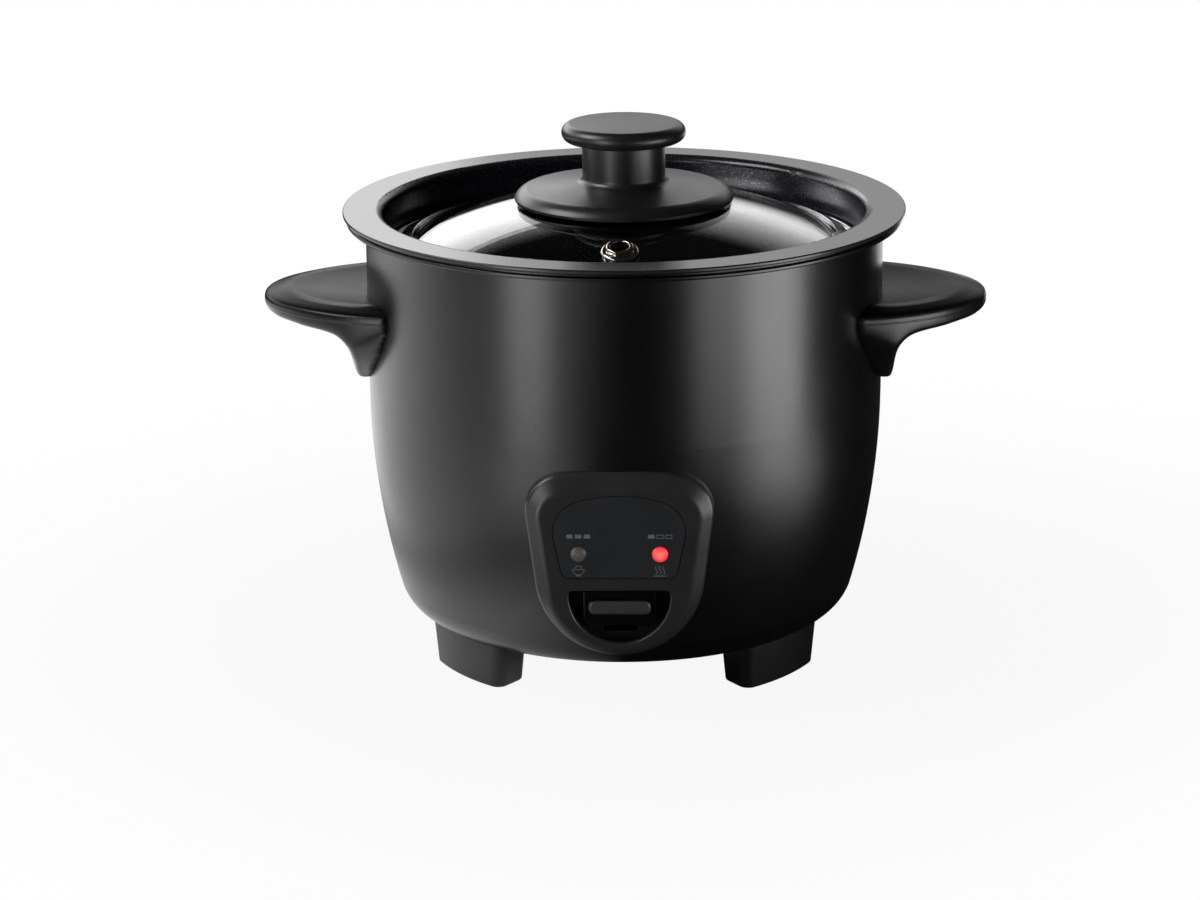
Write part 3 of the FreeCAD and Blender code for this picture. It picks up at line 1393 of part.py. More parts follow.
def make_board():
    body = new_body("lamp_board")
    top = "board_low + board_height"
    pad(body, "board_pad", "XZ_Plane", [
        ("-board_half", "board_low"),
        ("board_half", "board_low"),
        ("board_half", top),
        ("-board_half", top),
    ], "board_thickness", "board_face", reverse=True)
    for number, sign in enumerate(("", "-")):
        spot = (f"{sign}board_screw_side", "board_low + board_screw_rise")
        pocket(body, f"board_hole_{number}", "XZ_Plane", (*spot, "screw_radius + fit_gap"),
               "board_thickness", "board_face")
    return body


def make_board_screws():
    screws = []
    for number, sign in enumerate(("", "-")):
        screw = small_screw(f"board_screw_{number}", "screw_bite")
        screws.append(put(screw, f"{sign}board_screw_side", "-board_face + board_thickness",
                          "board_low + board_screw_rise", way=FRONT))
    return group("board_screws", screws)


def make_key_guide():
    """The plate behind the key, with a slot for its stem."""
    body = new_body("key_guide")
    edge = "chin_radius - face_inset - panel_side - fit_gap"
    top = "window_top + guide_overlap"
    pad(body, "guide_pad", "XZ_Plane", [
        (minus(edge), "face_chin_z"),
        ("0", f"face_chin_z - ({edge})", edge, "left"),
        (edge, "face_chin_z", edge, "left"),
        (edge, top),
        (minus(edge), top),
    ], "guide_thickness", "guide_face", reverse=True)
    slot_half = "stem_half + guide_slot_room"
    slot_low = "stem_low - key_travel - guide_slot_room"
    slot_top = "stem_low + stem_height + guide_slot_room"
    pocket(body, "guide_slot", "XZ_Plane", [
        (minus(slot_half), slot_low),
        (slot_half, slot_low),
        (slot_half, slot_top),
        (minus(slot_half), slot_top),
    ], "guide_thickness", "guide_face")
    return body


def make_key():
    body = new_body("cook_key")
    low = "key_low"
    pad(body, "key_pad", "XZ_Plane", [
        ("-key_half", "key_low + key_corner"),
        ("-key_half + key_corner", low, "key_corner", "left"),
        ("key_half - key_corner", low),
        ("key_half", "key_low + key_corner", "key_corner", "left"),
        ("key_half", "key_top"),
        ("-key_half", "key_top"),
    ], "key_thickness", "key_front", reverse=True)
    round_edges(body, "key_rounding", "key_round", flat_at("Y", "-key_front"))
    bar_top = "bar_low + bar_height"
    pad(body, "key_bar", "XZ_Plane", [
        ("-bar_half", "bar_low + bar_corner"),
        ("-bar_half + bar_corner", "bar_low", "bar_corner", "left"),
        ("bar_half - bar_corner", "bar_low"),
        ("bar_half", "bar_low + bar_corner", "bar_corner", "left"),
        ("bar_half", f"{bar_top} - bar_corner"),
        ("bar_half - bar_corner", bar_top, "bar_corner", "left"),
        ("-bar_half + bar_corner", bar_top),
        ("-bar_half", f"{bar_top} - bar_corner", "bar_corner", "left"),
    ], "bar_proud", "key_front")
    round_edges(body, "bar_rounding", "bar_round", flat_at("Y", minus("key_front + bar_proud")))
    pad(body, "key_stem", "XZ_Plane", [
        ("-stem_half", "stem_low"),
        ("stem_half", "stem_low"),
        ("stem_half", "stem_low + stem_height"),
        ("-stem_half", "stem_low + stem_height"),
    ], "stem_length", "key_back", reverse=True)
    return body


# Lever and switch


def make_lever():
    body = new_body("switch_lever")
    pad(body, "lever_strip", "XY_Plane", [
        ("-lever_half", "-lever_front"),
        ("lever_half", "-lever_front"),
        ("lever_half", "lever_rear"),
        ("-lever_half", "lever_rear"),
    ], "lever_thickness", "lever_low")
    hub = pad(body, "lever_hub", "YZ_Plane", ("-pivot_reach", "pivot_z", "hub_radius"), "2 * lever_half")
    hub.SideType = "Symmetric"
    bore = pocket(body, "lever_bore", "YZ_Plane", ("-pivot_reach", "pivot_z", "pin_radius + pin_gap"),
                  "4 * lever_half")
    bore.SideType = "Symmetric"
    return body


def make_bracket():
    """A bent bracket under the liner's floor: two ears for the pin, one of them carries the switch."""
    front = "-pivot_reach - bracket_front"
    rear = "-pivot_reach + bracket_rear"
    low = "pivot_z - hub_radius"
    plate = box("bracket_plate", ("-ear_outside", front, "floor_under - bracket_sheet"),
                ("ear_outside", rear, "floor_under"))
    left_ear = box("bracket_left_ear", ("-ear_outside", front, low), ("-ear_inside", rear, "floor_under"))
    right_ear = new_body("bracket_right_ear")
    pad(right_ear, "bracket_right_pad", "YZ_Plane", [
        (front, "switch_top"),
        (front, "floor_under"),
        (rear, "floor_under"),
        (rear, "switch_low"),
        ("-switch_front", "switch_low"),
        ("-switch_front", "switch_top"),
    ], "bracket_sheet", "ear_inside")
    pin_hole = rod("bracket_pin_hole", "pin_radius + pin_gap / 2", "4 * ear_outside",
                   "-2 * ear_outside", "-pivot_reach", "pivot_z", way=RIGHT)
    return without("lever_bracket", joined("lever_bracket_blank", plate, left_ear, right_ear), pin_hole)


def make_pin():
    reach = "ear_outside + bracket_sheet"
    return rod("lever_pin", "pin_radius", f"2 * ({reach})", minus(reach), "-pivot_reach", "pivot_z",
               way=RIGHT)


def make_switch():
    left = "ear_inside - switch_width"
    case = box("switch_case", (left, "-switch_front", "switch_low"),
               ("ear_inside", "-switch_rear", "switch_top"))
    room = "(button_half + slide_gap)"
    well = box("switch_well",
               (f"switch_middle - {room}", f"-button_reach - {room}", "button_well"),
               (f"switch_middle + {room}", f"-button_reach + {room}", "switch_top + slide_gap"))
    return without("micro_switch", case, well)


def make_button():
    return box("switch_button",
               ("switch_middle - button_half", "-button_reach - button_half", "switch_top - slide_gap"),
               ("switch_middle + button_half", "-button_reach + button_half", "button_top"))


# Feet, base cover and inlet


def make_foot(label, angle, envelope):
    body = new_body(f"{label}_blank")
    across = ("cos(foot_half_angle)", "sin(foot_half_angle)")
    outer = tuple(f"foot_outer * {share}" for share in across)
    inner = tuple(f"foot_inner * {share}" for share in across)
    column = pad(body, f"{label}_column", "XY_Plane", [
        (outer[0], minus(outer[1])),
        (outer[0], outer[1], "foot_outer", "left"),
        inner,
        (inner[0], minus(inner[1]), "foot_inner", "right"),
    ], "foot_height + shell_heel")
    bind(column, "TaperAngle", "foot_draft")
    doc.recompute()
    round_edges(body, f"{label}_corners", "foot_corner",
                lambda edge: edge.BoundBox.ZLength > value("foot_height"))
    round_edges(body, f"{label}_edge", "foot_edge", flat_at("Z", "0"))
    screw = ("foot_screw_ring", "0")
    pocket(body, f"{label}_bore", "XY_Plane", (*screw, "screw_radius + fit_gap"),
           "foot_height + shell_heel", reverse=True)
    pocket(body, f"{label}_counterbore", "XY_Plane", (*screw, "screw_head_radius + slide_gap"),
           "foot_seat", reverse=True)
    put(body, angle=angle)
    return without(label, body, envelope)


def make_cover():
    body = disc("base_cover_blank", "cover_radius", "cover_low", "foot_height")
    half = "slot_length / 2 - slot_half"
    slot = pocket(body, "cover_slot", "XY_Plane", [
        (f"slot_ring - ({half})", "slot_half"),
        (f"slot_ring - ({half}) - slot_half", "0", "slot_half", "left"),
        (f"slot_ring - ({half})", "-slot_half", "slot_half", "left"),
        (f"slot_ring + {half}", "-slot_half"),
        (f"slot_ring + {half} + slot_half", "0", "slot_half", "left"),
        (f"slot_ring + {half}", "slot_half", "slot_half", "left"),
    ], "cover_sheet", "foot_height")
    polar(body, "cover_slots_pattern", slot, "cover_slots")
    tools = []
    for number, angle in enumerate(COVER_SCREWS):
        tools.append(rod(f"cover_bore_{number}", "screw_radius + fit_gap", "foot_height",
                         f"cover_screw_ring * cos({angle})", f"cover_screw_ring * sin({angle})",
                         "foot_height / 2"))
    return without("base_cover", body, *tools)


def make_prongs():
    prongs = []
    places = (("0", "1"), ("prong_pitch", "-1"), ("-prong_pitch", "-1"))
    for number, (x, rise) in enumerate(places):
        z = f"inlet_z + {rise} * prong_rise"
        prongs.append(box(f"inlet_prong_{number}",
                          (f"{x} - prong_wide / 2", "inlet_back - prong_tail", f"{z} - prong_high / 2"),
                          (f"{x} + prong_wide / 2", "inlet_face - prong_short", f"{z} + prong_high / 2")))
    return group("inlet_prongs", prongs)


def make_inlet(envelope, prongs):
    frame = new_body("inlet_frame")
    pad(frame, "inlet_frame_pad", "XZ_Plane", [
        ("-inlet_half + inlet_round", "inlet_z - inlet_half_height", "inlet_round", "left"),
        ("inlet_half - inlet_round", "inlet_z - inlet_half_height"),
        ("inlet_half", "inlet_z - inlet_half_height + inlet_round", "inlet_round", "left"),
        ("inlet_half", "inlet_z + inlet_half_height - inlet_round"),
        ("inlet_half - inlet_round", "inlet_z + inlet_half_height", "inlet_round", "left"),
        ("-inlet_half + inlet_round", "inlet_z + inlet_half_height"),
        ("-inlet_half", "inlet_z + inlet_half_height - inlet_round", "inlet_round", "left"),
        ("-inlet_half", "inlet_z - inlet_half_height + inlet_round"),
    ], "inlet_face - inlet_back", "-inlet_back", reverse=True)
    round_edges(frame, "inlet_edge", "inlet_round / 2", flat_at("Y", "inlet_face"))
    seated = without("inlet_seated", frame, envelope)
    case = box("inlet_case",
               ("-inlet_box_half", "inlet_back", "inlet_z - inlet_box_half_height"),
               ("inlet_box_half", "inlet_face - inlet_round", "inlet_z + inlet_box_half_height"))
    recess = new_body("inlet_recess")
    low = "inlet_z - recess_half_height"
    high = "inlet_z + recess_half_height"
    pad(recess, "inlet_recess_pad", "XZ_Plane", [
        ("-recess_half", low),
        ("recess_half", low),
        ("recess_half", f"{high} - recess_bevel"),
        ("recess_half - recess_bevel", high),
        ("-recess_half + recess_bevel", high),
        ("-recess_half", f"{high} - recess_bevel"),
    ], "2 * inlet_depth", "-inlet_inside", reverse=True)
    return without("inlet_housing", joined("inlet_blank", seated, case), recess, prongs)


# Fuse and inner wires


def make_fuse():
    return rod("thermal_fuse", "fuse_radius", "fuse_length", "-fuse_length / 2", "fuse_side", "fuse_z",
               way=RIGHT)


def make_fuse_clip():
    """A saddle that holds the fuse against the liner's floor."""
    inside = "fuse_radius + fit_gap"
    outside = f"{inside} + fuse_clip_sheet"
    body = new_body("fuse_clip_blank")
    pad(body, "fuse_clip_pad", "YZ_Plane", [
        (f"fuse_side + {outside}", "floor_under"),
        (f"fuse_side - ({outside})", "floor_under"),
        (f"fuse_side - ({outside})", "fuse_z"),
        ("fuse_side", f"fuse_z - ({outside})", outside, "left"),
        (f"fuse_side + {outside}", "fuse_z", outside, "left"),
    ], "fuse_length / 2", "-fuse_length / 4")
    hole = rod("fuse_clip_hole", inside, "2 * fuse_length", "-fuse_length", "fuse_side", "fuse_z",
               way=RIGHT)
    return without("fuse_clip", body, hole)


def make_wire(label, route):
    """A round wire along straight runs, with the same bend at every corner of its route."""
    spots = [Vector(*[value(text) for text in spot]) for spot in route]
    bend = value("wire_bend")
    edges = []
    start = spots[0]
    for before, corner, after in zip(spots, spots[1:], spots[2:]):
        come = unit(corner - before)
        leave = unit(after - corner)
        reach = bend * math.tan(come.getAngle(leave) / 2)
        entry = corner - come * reach
        edges.append(Part.LineSegment(start, entry).toShape())
        start = corner + leave * reach
        edges.append(arc_from(entry, come, start))
    edges.append(Part.LineSegment(start, spots[-1]).toShape())
    path = Part.Wire(edges)
    section = Part.Wire(Part.makeCircle(value("wire_radius"), spots[0], spots[1] - spots[0]))
    wire = doc.addObject("Part::Feature", label)
    wire.Shape = sweep(path, section)
    return wire


def make_wires():
    """The mains wires, from the prongs through fuse and switch to the element."""
    tail = "inlet_back - prong_tail"
    lead = f"{tail} - wire_bend"
    outer = "inlet_z - prong_rise"
    earth = "inlet_z + prong_rise"
    post_x = "bead_ring * sin(terminal_angle)"
    post_y = "bead_ring * cos(terminal_angle)"
    post_low = "terminal_low - 2 * wire_bend"
    fuse_end = "fuse_length / 2"
    swing_out = "fuse_side"
    contact_low = "switch_low + wire_bend"
    contact_high = "switch_low + 2 * wire_bend"
    behind = "-switch_rear + 3 * wire_bend"
    return [
        make_wire("neutral_wire", [
            ("-prong_pitch", tail, outer),
            ("-prong_pitch", lead, outer),
            (minus(post_x), post_y, post_low),
            (minus(post_x), post_y, "terminal_low"),
        ]),
        make_wire("live_wire", [
            ("prong_pitch", tail, outer),
            ("prong_pitch", lead, outer),
            (swing_out, post_y, f"{outer} + wire_bend"),
            (swing_out, "fuse_side", "fuse_z"),
            (fuse_end, "fuse_side", "fuse_z"),
        ]),
        make_wire("fuse_wire", [
            (minus(fuse_end), "fuse_side", "fuse_z"),
            (minus(swing_out), "fuse_side", "fuse_z"),
            (minus(swing_out), behind, contact_low),
            ("switch_middle - wire_radius", behind, contact_low),
            ("switch_middle - wire_radius", "-switch_rear", contact_low),
        ]),
        make_wire("heater_wire", [
            ("switch_middle + wire_radius / 2", "-switch_rear", contact_high),
            ("switch_middle + wire_radius / 2", behind, contact_high),
            (swing_out, "0", post_low),
            (post_x, post_y, post_low),
            (post_x, post_y, "terminal_low"),
        ]),
        make_wire("earth_wire", [
            ("0", tail, earth),
            ("0", "fuse_side + 2 * wire_bend", earth),
            ("0", "fuse_side + 2 * wire_bend", "floor_under"),
        ]),
    ]


def build():
    envelope = shell_space("shell_envelope", "fit_gap")
    prongs = make_prongs()
    nodes = [
        cut_shell(make_shell_blank()),
        make_liner(),
        make_heating_plate(),
        make_terminals(),
        screws_at("heater_screws", LEGS, "heater_leg_ring", "floor_under"),
        make_warm_band(),
        make_sensor_cap(),
        disc("sensor_ferrite", "ferrite_radius", "ferrite_low", "ferrite_top"),
        make_sensor_base(),
        make_magnet(),
        make_plunger_rod(),
        make_spring("sensor_spring", "sensor_spring_radius", "sensor_spring_wire",
                    "sensor_spring_low", "sensor_spring_top", "sensor_spring_turns"),
        make_spring("release_spring", "release_spring_radius", "release_spring_wire",
                    "release_spring_low", "release_spring_top", "release_spring_turns"),
        *make_pot(),
        make_glass(),
        make_band(),
        make_vent(),
        make_collar(),
        make_grip(),
        make_gasket(),
        make_knob_screw(),
        disc("knob_washer", "washer_radius", "washer_low", "washer_top", "knob_hole"),
        *[make_handle(*handle, envelope) for handle in HANDLES],
        make_handle_screws(),
        make_bezel(envelope),
        make_label(),
        make_lamp("cook_lamp", "-"),
        make_lamp("warm_lamp", ""),
        make_board(),
        make_board_screws(),
        make_key_guide(),
        make_key(),
        make_lever(),
        make_bracket(),
        make_pin(),
        make_switch(),
        make_button(),
        *[make_foot(*foot, envelope) for foot in FEET],
        screws_at("foot_screws", [angle for name, angle in FEET], "foot_screw_ring", "foot_seat"),
        make_cover(),
        screws_at("base_screws", COVER_SCREWS, "cover_screw_ring", "cover_low"),
        make_inlet(envelope, prongs),
        prongs,
        make_fuse(),
        make_fuse_clip(),
        *make_wires(),
    ]
    doc.recompute()
    return nodes


def check(nodes):
    for thing in doc.Objects:
        if "Invalid" in thing.State or "Error" in thing.State:
            raise RuntimeError(f"{thing.Label} failed: {thing.State}")
    for node in nodes:
        if node.Shape.isNull() or not node.Shape.isValid():
            raise RuntimeError(f"{node.Label} has no valid shape")


def write(nodes):
    os.makedirs("parts", exist_ok=True)
    for node in nodes:
        node.Shape.exportStep(f"parts/{node.Label}.step")


nodes = build()
check(nodes)
write(nodes)
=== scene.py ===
import math

import bmesh
import bpy
from mathutils import Matrix, Vector


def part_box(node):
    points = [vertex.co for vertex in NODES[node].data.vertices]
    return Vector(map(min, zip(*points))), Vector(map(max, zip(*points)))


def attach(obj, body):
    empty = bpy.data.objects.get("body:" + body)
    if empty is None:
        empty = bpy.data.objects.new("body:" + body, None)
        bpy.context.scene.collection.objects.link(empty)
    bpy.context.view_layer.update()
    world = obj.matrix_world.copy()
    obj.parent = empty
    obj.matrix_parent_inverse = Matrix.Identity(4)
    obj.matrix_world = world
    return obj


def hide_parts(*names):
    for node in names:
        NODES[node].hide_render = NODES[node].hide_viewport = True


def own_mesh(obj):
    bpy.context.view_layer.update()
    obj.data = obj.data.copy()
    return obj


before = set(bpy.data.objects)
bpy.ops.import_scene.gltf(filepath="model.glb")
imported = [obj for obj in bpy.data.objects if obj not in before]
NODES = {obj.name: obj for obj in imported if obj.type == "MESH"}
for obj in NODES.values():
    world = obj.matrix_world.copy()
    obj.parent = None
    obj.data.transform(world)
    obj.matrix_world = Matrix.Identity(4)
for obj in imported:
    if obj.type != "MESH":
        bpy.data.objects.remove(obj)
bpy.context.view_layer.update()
MM = 0.001

# Spans over which a finish changes, and other measures on the cooker
PARTING_HEIGHT = 112.4 * MM
PARTING_LINE = (0.1 * MM, 0.3 * MM)
FACING_UP = (0.5, 0.75)
BOWL_END = (74.6 * MM, 76.8 * MM)
FLAKE_SIZE = 0.5 * MM
FLAKE_EDGE = (0.14, 0.3)
FLAKE_CHOICE = (0.6, 0.7)
# Span over which the key's bar takes its painted highlight
KEY_BAR_HIGHLIGHT = (0.5 * MM, 1.1 * MM)
# Span over which the liner's flange turns black, a painted shade in the gap under the pot's flange
LINER_SHADE_EDGE = (4 * MM, 3 * MM)
LENS_GLOW = (0.3 * MM, 2.3 * MM)

# The soft form of the side handles
HANDLE_GRID = 0.7 * MM
SEAT_DEPTH = 0.9 * MM
SEAT_SINK = 0.7 * MM
TOP_SKIN = 0.6 * MM
DISH_DEPTH = 2.2 * MM
DISH_REACH = 25 * MM
DISH_HALF_WIDTH = 30 * MM
RIM_DEPTH = 4 * MM
SMOOTH_STEPS = 110

# How far the smoothing takes to grow from the wall, under the rim and from the foot, and its lowest share
WALL_RAMP = (4 * MM, 0.2)
RIM_RAMP = (5 * MM, 0.12)
FOOT_RAMP = (9 * MM, 0.06)

# Printed signs
PRINT_LIFT = 0.03 * MM
BAR_RISE = 5.6 * MM
BAR_STEP = 2.6 * MM
BAR_LENGTH = 1.9 * MM
BAR_HEIGHT = 1.2 * MM
BAR_OUTLINE = 0.5 * MM
SIGN_DROP = 5.2 * MM
BOWL_RISE = 0.5 * MM
BOWL_RADIUS = 1.7 * MM
BOWL_FOOT = 0.8 * MM
LID_RADIUS = 1.15 * MM
BASE_DROP = 1.45 * MM
WAVE_STEP = 1.1 * MM
WAVE_SWAY = 0.28 * MM
WAVE_DROP = 0.9 * MM
WAVE_RISE = 0.26 * MM
HEAT_FOOT = 1.9 * MM
THIN_LINE = 0.22 * MM
SIGN_LINE = 0.24 * MM
BASE_LINE = 0.26 * MM

# Floor: its white and grey, where it pales, and what reflections meet on it
FLOOR_SIZE = 6.0
FLOOR_WHITE = 0.92
FLOOR_GREY = 0.05
FLOOR_PALES = (0.12, 0.4)
STRIP_SIDE = (-0.15, -0.09)
STRIP_STRENGTH = (0.5, 1.7)
STRIP_DEPTH = (-0.2, 0.2)
STRIP_END = (0.3, 0.5)
RING_END = (0.1, 0.16)
RING_SIDE = (-0.06, 0.0)
PATCH_END = (0.02, 0.13)
FLOOR_PATCHES = [(0.27, -0.125, 3.0), (-0.165, -0.215, 1.6)]

# Backdrop: the ways, from -1 to 1, in which a reflection meets it
WORLD_GREY = 0.012
BACKDROP_WHITE = 1.5
BACKDROP_START = (-0.1, 0.4)
BACKDROP_TOP = (0.32, 0.6)
BACKDROP_FOOT = (0.1, 0.25)
BACKDROP_RIGHT = (0.2, 0.7)

# Soft boxes: name, azimuth, distance, height, aimed height, width, length and brightness
BOXES = [
    ("box_right", 64, 0.38, 0.07, 0.07, 0.18, 0.16, 4.8),
    ("box_right_front", 40, 0.4, 0.07, 0.07, 0.16, 0.16, 2.2),
    ("box_left", -37, 0.4, 0.14, 0.14, 0.12, 0.28, 3.0),
    ("box_back_left", -150, 0.6, 0.36, 0.2, 0.5, 0.28, 1.6),
    ("box_upper_left", -78, 0.5, 0.58, 0.1, 0.4, 0.3, 5.5),
    ("box_back_right", 156, 0.5, 0.06, 0.06, 0.22, 0.12, 1.6),
]

# Camera: lens in millimetres, place in metres, turns in degrees
SENSOR_WIDTH = 36
LENS_LENGTH = 105.9
CAMERA_PLACE = (0.0275, -1.0745, 0.3833)
CAMERA_YAW = 1.9
CAMERA_DOWN = 16.65
CAMERA_ROLL = -0.5


# Material helpers


def material(name, colour, roughness, **sockets):
    """A principled material of one colour and roughness. Other sockets are named with underscores."""
    made = bpy.data.materials.new(name)
    made.use_nodes = True
    shader = shader_of(made)
    shader.inputs["Base Color"].default_value = (*colour, 1)
    shader.inputs["Roughness"].default_value = roughness
    for socket, value in sockets.items():
        shader.inputs[socket.replace("_", " ")].default_value = value
    return made


def shader_of(made):
    return made.node_tree.nodes["Principled BSDF"]


def add_node(made, kind, settings=None, **inputs):
    node = made.node_tree.nodes.new(kind)
    for name, value in (settings or {}).items():
        setattr(node, name, value)
    for name, value in inputs.items():
        node.inputs[name.replace("_", " ")].default_value = value
    return node


def link(made, output, socket):
    made.node_tree.links.new(output, socket)


def place(made, stretch=(1, 1, 1)):
    """The piece's own coordinates, stretched along each axis."""
    spot = add_node(made, "ShaderNodeTexCoord")
    scaled = add_node(made, "ShaderNodeVectorMath", {"operation": "MULTIPLY"})
    scaled.inputs[1].default_value = stretch
    link(made, spot.outputs["Object"], scaled.inputs[0])
    return scaled.outputs[0]


def noise(made, size, detail=2.0, stretch=(1, 1, 1)):
    """Soft noise whose spots are about size across."""
    cloud = add_node(made, "ShaderNodeTexNoise", Scale=1 / size, Detail=detail)
    link(made, place(made, stretch), cloud.inputs["Vector"])
    return cloud.outputs["Fac"]


def spread(made, source, low, high, start=0.3, end=0.7):
    """Maps a source between start and end to a range."""
    mapped = add_node(made, "ShaderNodeMapRange", From_Min=start, From_Max=end, To_Min=low, To_Max=high)
    link(made, source, mapped.inputs["Value"])
    return mapped.outputs["Result"]


def math_node(made, operation, first, second):
    """Arithmetic on two values, each a socket or a number."""
    sums = add_node(made, "ShaderNodeMath", {"operation": operation})
    for socket, value in zip(sums.inputs, (first, second)):
        if isinstance(value, (int, float)):
            socket.default_value = value
        else:
            link(made, value, socket)
    return sums.outputs[0]


def mix_colour(made, share, first, second):
    """A colour between two, by a share from 0 to 1."""
    mixed = add_node(made, "ShaderNodeMix", {"data_type": "RGBA"})
    mixed.inputs[6].default_value = (*first, 1)
    mixed.inputs[7].default_value = (*second, 1)
    link(made, share, mixed.inputs[0])
    return mixed.outputs[2]


def add_shades(made, size, first, second, stretch=(1, 1, 1)):
    """Lets the colour drift between two."""
    share = spread(made, noise(made, size, 3.0, stretch), 0, 1)
    link(made, mix_colour(made, share, first, second), shader_of(made).inputs["Base Color"])


def add_sheen_drift(made, size, low, high, stretch=(1, 1, 1)):
    """Lets the roughness drift, as handling and moulding leave it."""
    drift = spread(made, noise(made, size, 4.0, stretch), low, high)
    link(made, drift, shader_of(made).inputs["Roughness"])


def add_relief(made, source, height):
    """A relief of that height from a source between 0 and 1, on top of any relief that is there."""
    bump = add_node(made, "ShaderNodeBump", Strength=1.0, Distance=height)
    socket = shader_of(made).inputs["Normal"]
    if socket.is_linked:
        link(made, socket.links[0].from_socket, bump.inputs["Normal"])
    link(made, source, bump.inputs["Height"])
    link(made, bump.outputs["Normal"], socket)


def axis_of(made, axis, source="Object"):
    """One coordinate of the piece's own space, or of the way a ray goes into the surroundings."""
    spot = add_node(made, "ShaderNodeTexCoord")
    parts = add_node(made, "ShaderNodeSeparateXYZ")
    link(made, spot.outputs[source], parts.inputs[0])
    return parts.outputs[axis]


def radius_from(made, first, second, along):
    """The distance from an axis that runs along X, Y or Z through two coordinates."""
    squares = []
    for axis, middle in zip("XYZ".replace(along, ""), (first, second)):
        offset = math_node(made, "SUBTRACT", axis_of(made, axis), middle)
        squares.append(math_node(made, "MULTIPLY", offset, offset))
    return math_node(made, "SQRT", math_node(made, "ADD", *squares), 0.0)


def add_parting_line(made, height):
    """A fine raised line at one height, where the halves of the mould met."""
    away = math_node(made, "ABSOLUTE", math_node(made, "SUBTRACT", axis_of(made, "Z"), height), 0.0)
    add_relief(made, spread(made, away, 1, 0, *PARTING_LINE), 0.1 * MM)


def add_dull_top(made, level, dull):
    """Takes the sheen down from one level to another where the surface faces up."""
    upward = axis_of(made, "Z", "Normal")
    sheen = spread(made, upward, level, dull, *FACING_UP)
    link(made, sheen, shader_of(made).inputs["Specular IOR Level"])


# Materials


def black_enamel():
    """Satin black paint on sheet, with a faint orange peel."""
    made = material("black_enamel", (0.0024, 0.0024, 0.0025), 0.4, Specular_IOR_Level=0.7)
    add_sheen_drift(made, 14 * MM, 0.27, 0.3)
    add_relief(made, noise(made, 1.3 * MM, 1.0), 0.006 * MM)
    return made


def moulded(name, colour, roughness, grain, height, level=0.5):
    """Black plastic with the fine grain of its mould."""
    made = material(name, colour, roughness, Specular_IOR_Level=level)
    paler = tuple(part * 1.2 for part in colour)
    add_shades(made, 9 * MM, colour, paler)
    add_sheen_drift(made, 9 * MM, roughness - 0.015, roughness + 0.02)
    add_relief(made, noise(made, grain, 2.0), height)
    return made


def key_plastic():
    """Glossy black, satin on the bar that the finger meets; the bar's paler colour is a painted
    highlight.
    """
    made = material("key_plastic", (0.002, 0.002, 0.002), 0.2)
    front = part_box("cook_key")[0].y
    bar = spread(made, axis_of(made, "Y"), 1, 0, front + KEY_BAR_HIGHLIGHT[0], front + KEY_BAR_HIGHLIGHT[1])
    # The bar's paler colour is a painted highlight; its higher roughness is the satin
    colour = mix_colour(made, bar, (0.0015, 0.0015, 0.0015), (0.06, 0.06, 0.062))
    link(made, colour, shader_of(made).inputs["Base Color"])
    link(made, spread(made, bar, 0.2, 0.36, 0, 1), shader_of(made).inputs["Roughness"])
    add_relief(made, noise(made, 0.5 * MM, 2.0), 0.001 * MM)
    return made


def pot_coating():
    """Grey satin on the flange, blue-black with fine flakes on the bowl."""
    made = material("pot_coating", (0.02, 0.021, 0.024), 0.34, Specular_IOR_Level=0.6)
    bowl = spread(made, radius_from(made, 0.0, 0.0, "Z"), 1, 0, *BOWL_END)
    flakes = add_node(made, "ShaderNodeTexVoronoi", {"feature": "F1"}, Scale=1 / FLAKE_SIZE)
    link(made, place(made), flakes.inputs["Vector"])
    near = spread(made, flakes.outputs["Distance"], 1, 0, *FLAKE_EDGE)
    tone = add_node(made, "ShaderNodeSeparateColor")
    link(made, flakes.outputs["Color"], tone.inputs[0])
    rare = spread(made, tone.outputs[0], 0, 1, *FLAKE_CHOICE)
    fleck = math_node(made, "MULTIPLY", math_node(made, "MULTIPLY", near, rare), bowl)
    coat = mix_colour(made, bowl, (0.02, 0.021, 0.024), (0.011, 0.0125, 0.019))
    speckled = add_node(made, "ShaderNodeMix", {"data_type": "RGBA"})
    speckled.inputs[7].default_value = (0.42, 0.46, 0.56, 1)
    link(made, coat, speckled.inputs[6])
    link(made, fleck, speckled.inputs[0])
    link(made, speckled.outputs[2], shader_of(made).inputs["Base Color"])
    link(made, fleck, shader_of(made).inputs["Metallic"])
    link(made, spread(made, bowl, 0.25, 0.2, 0, 1), shader_of(made).inputs["Roughness"])
    add_relief(made, noise(made, 0.9 * MM, 2.0), 0.003 * MM)
    return made


def clear_glass():
    made = material("clear_glass", (0.97, 0.985, 0.98), 0.0, IOR=1.5, Transmission_Weight=1.0)
    add_relief(made, noise(made, 30 * MM, 1.0), 0.02 * MM)
    return made


def metal(name, colour, roughness, size, height, stretch=(1, 1, 1)):
    """Bare metal with fine marks along its stretch."""
    made = material(name, colour, roughness, Metallic=1.0)
    duller = tuple(part * 0.86 for part in colour)
    add_shades(made, size * 6, colour, duller, stretch)
    add_sheen_drift(made, size * 2, roughness * 0.8, roughness * 1.25, stretch)
    add_relief(made, noise(made, size, 2.0, stretch), height)
    return made


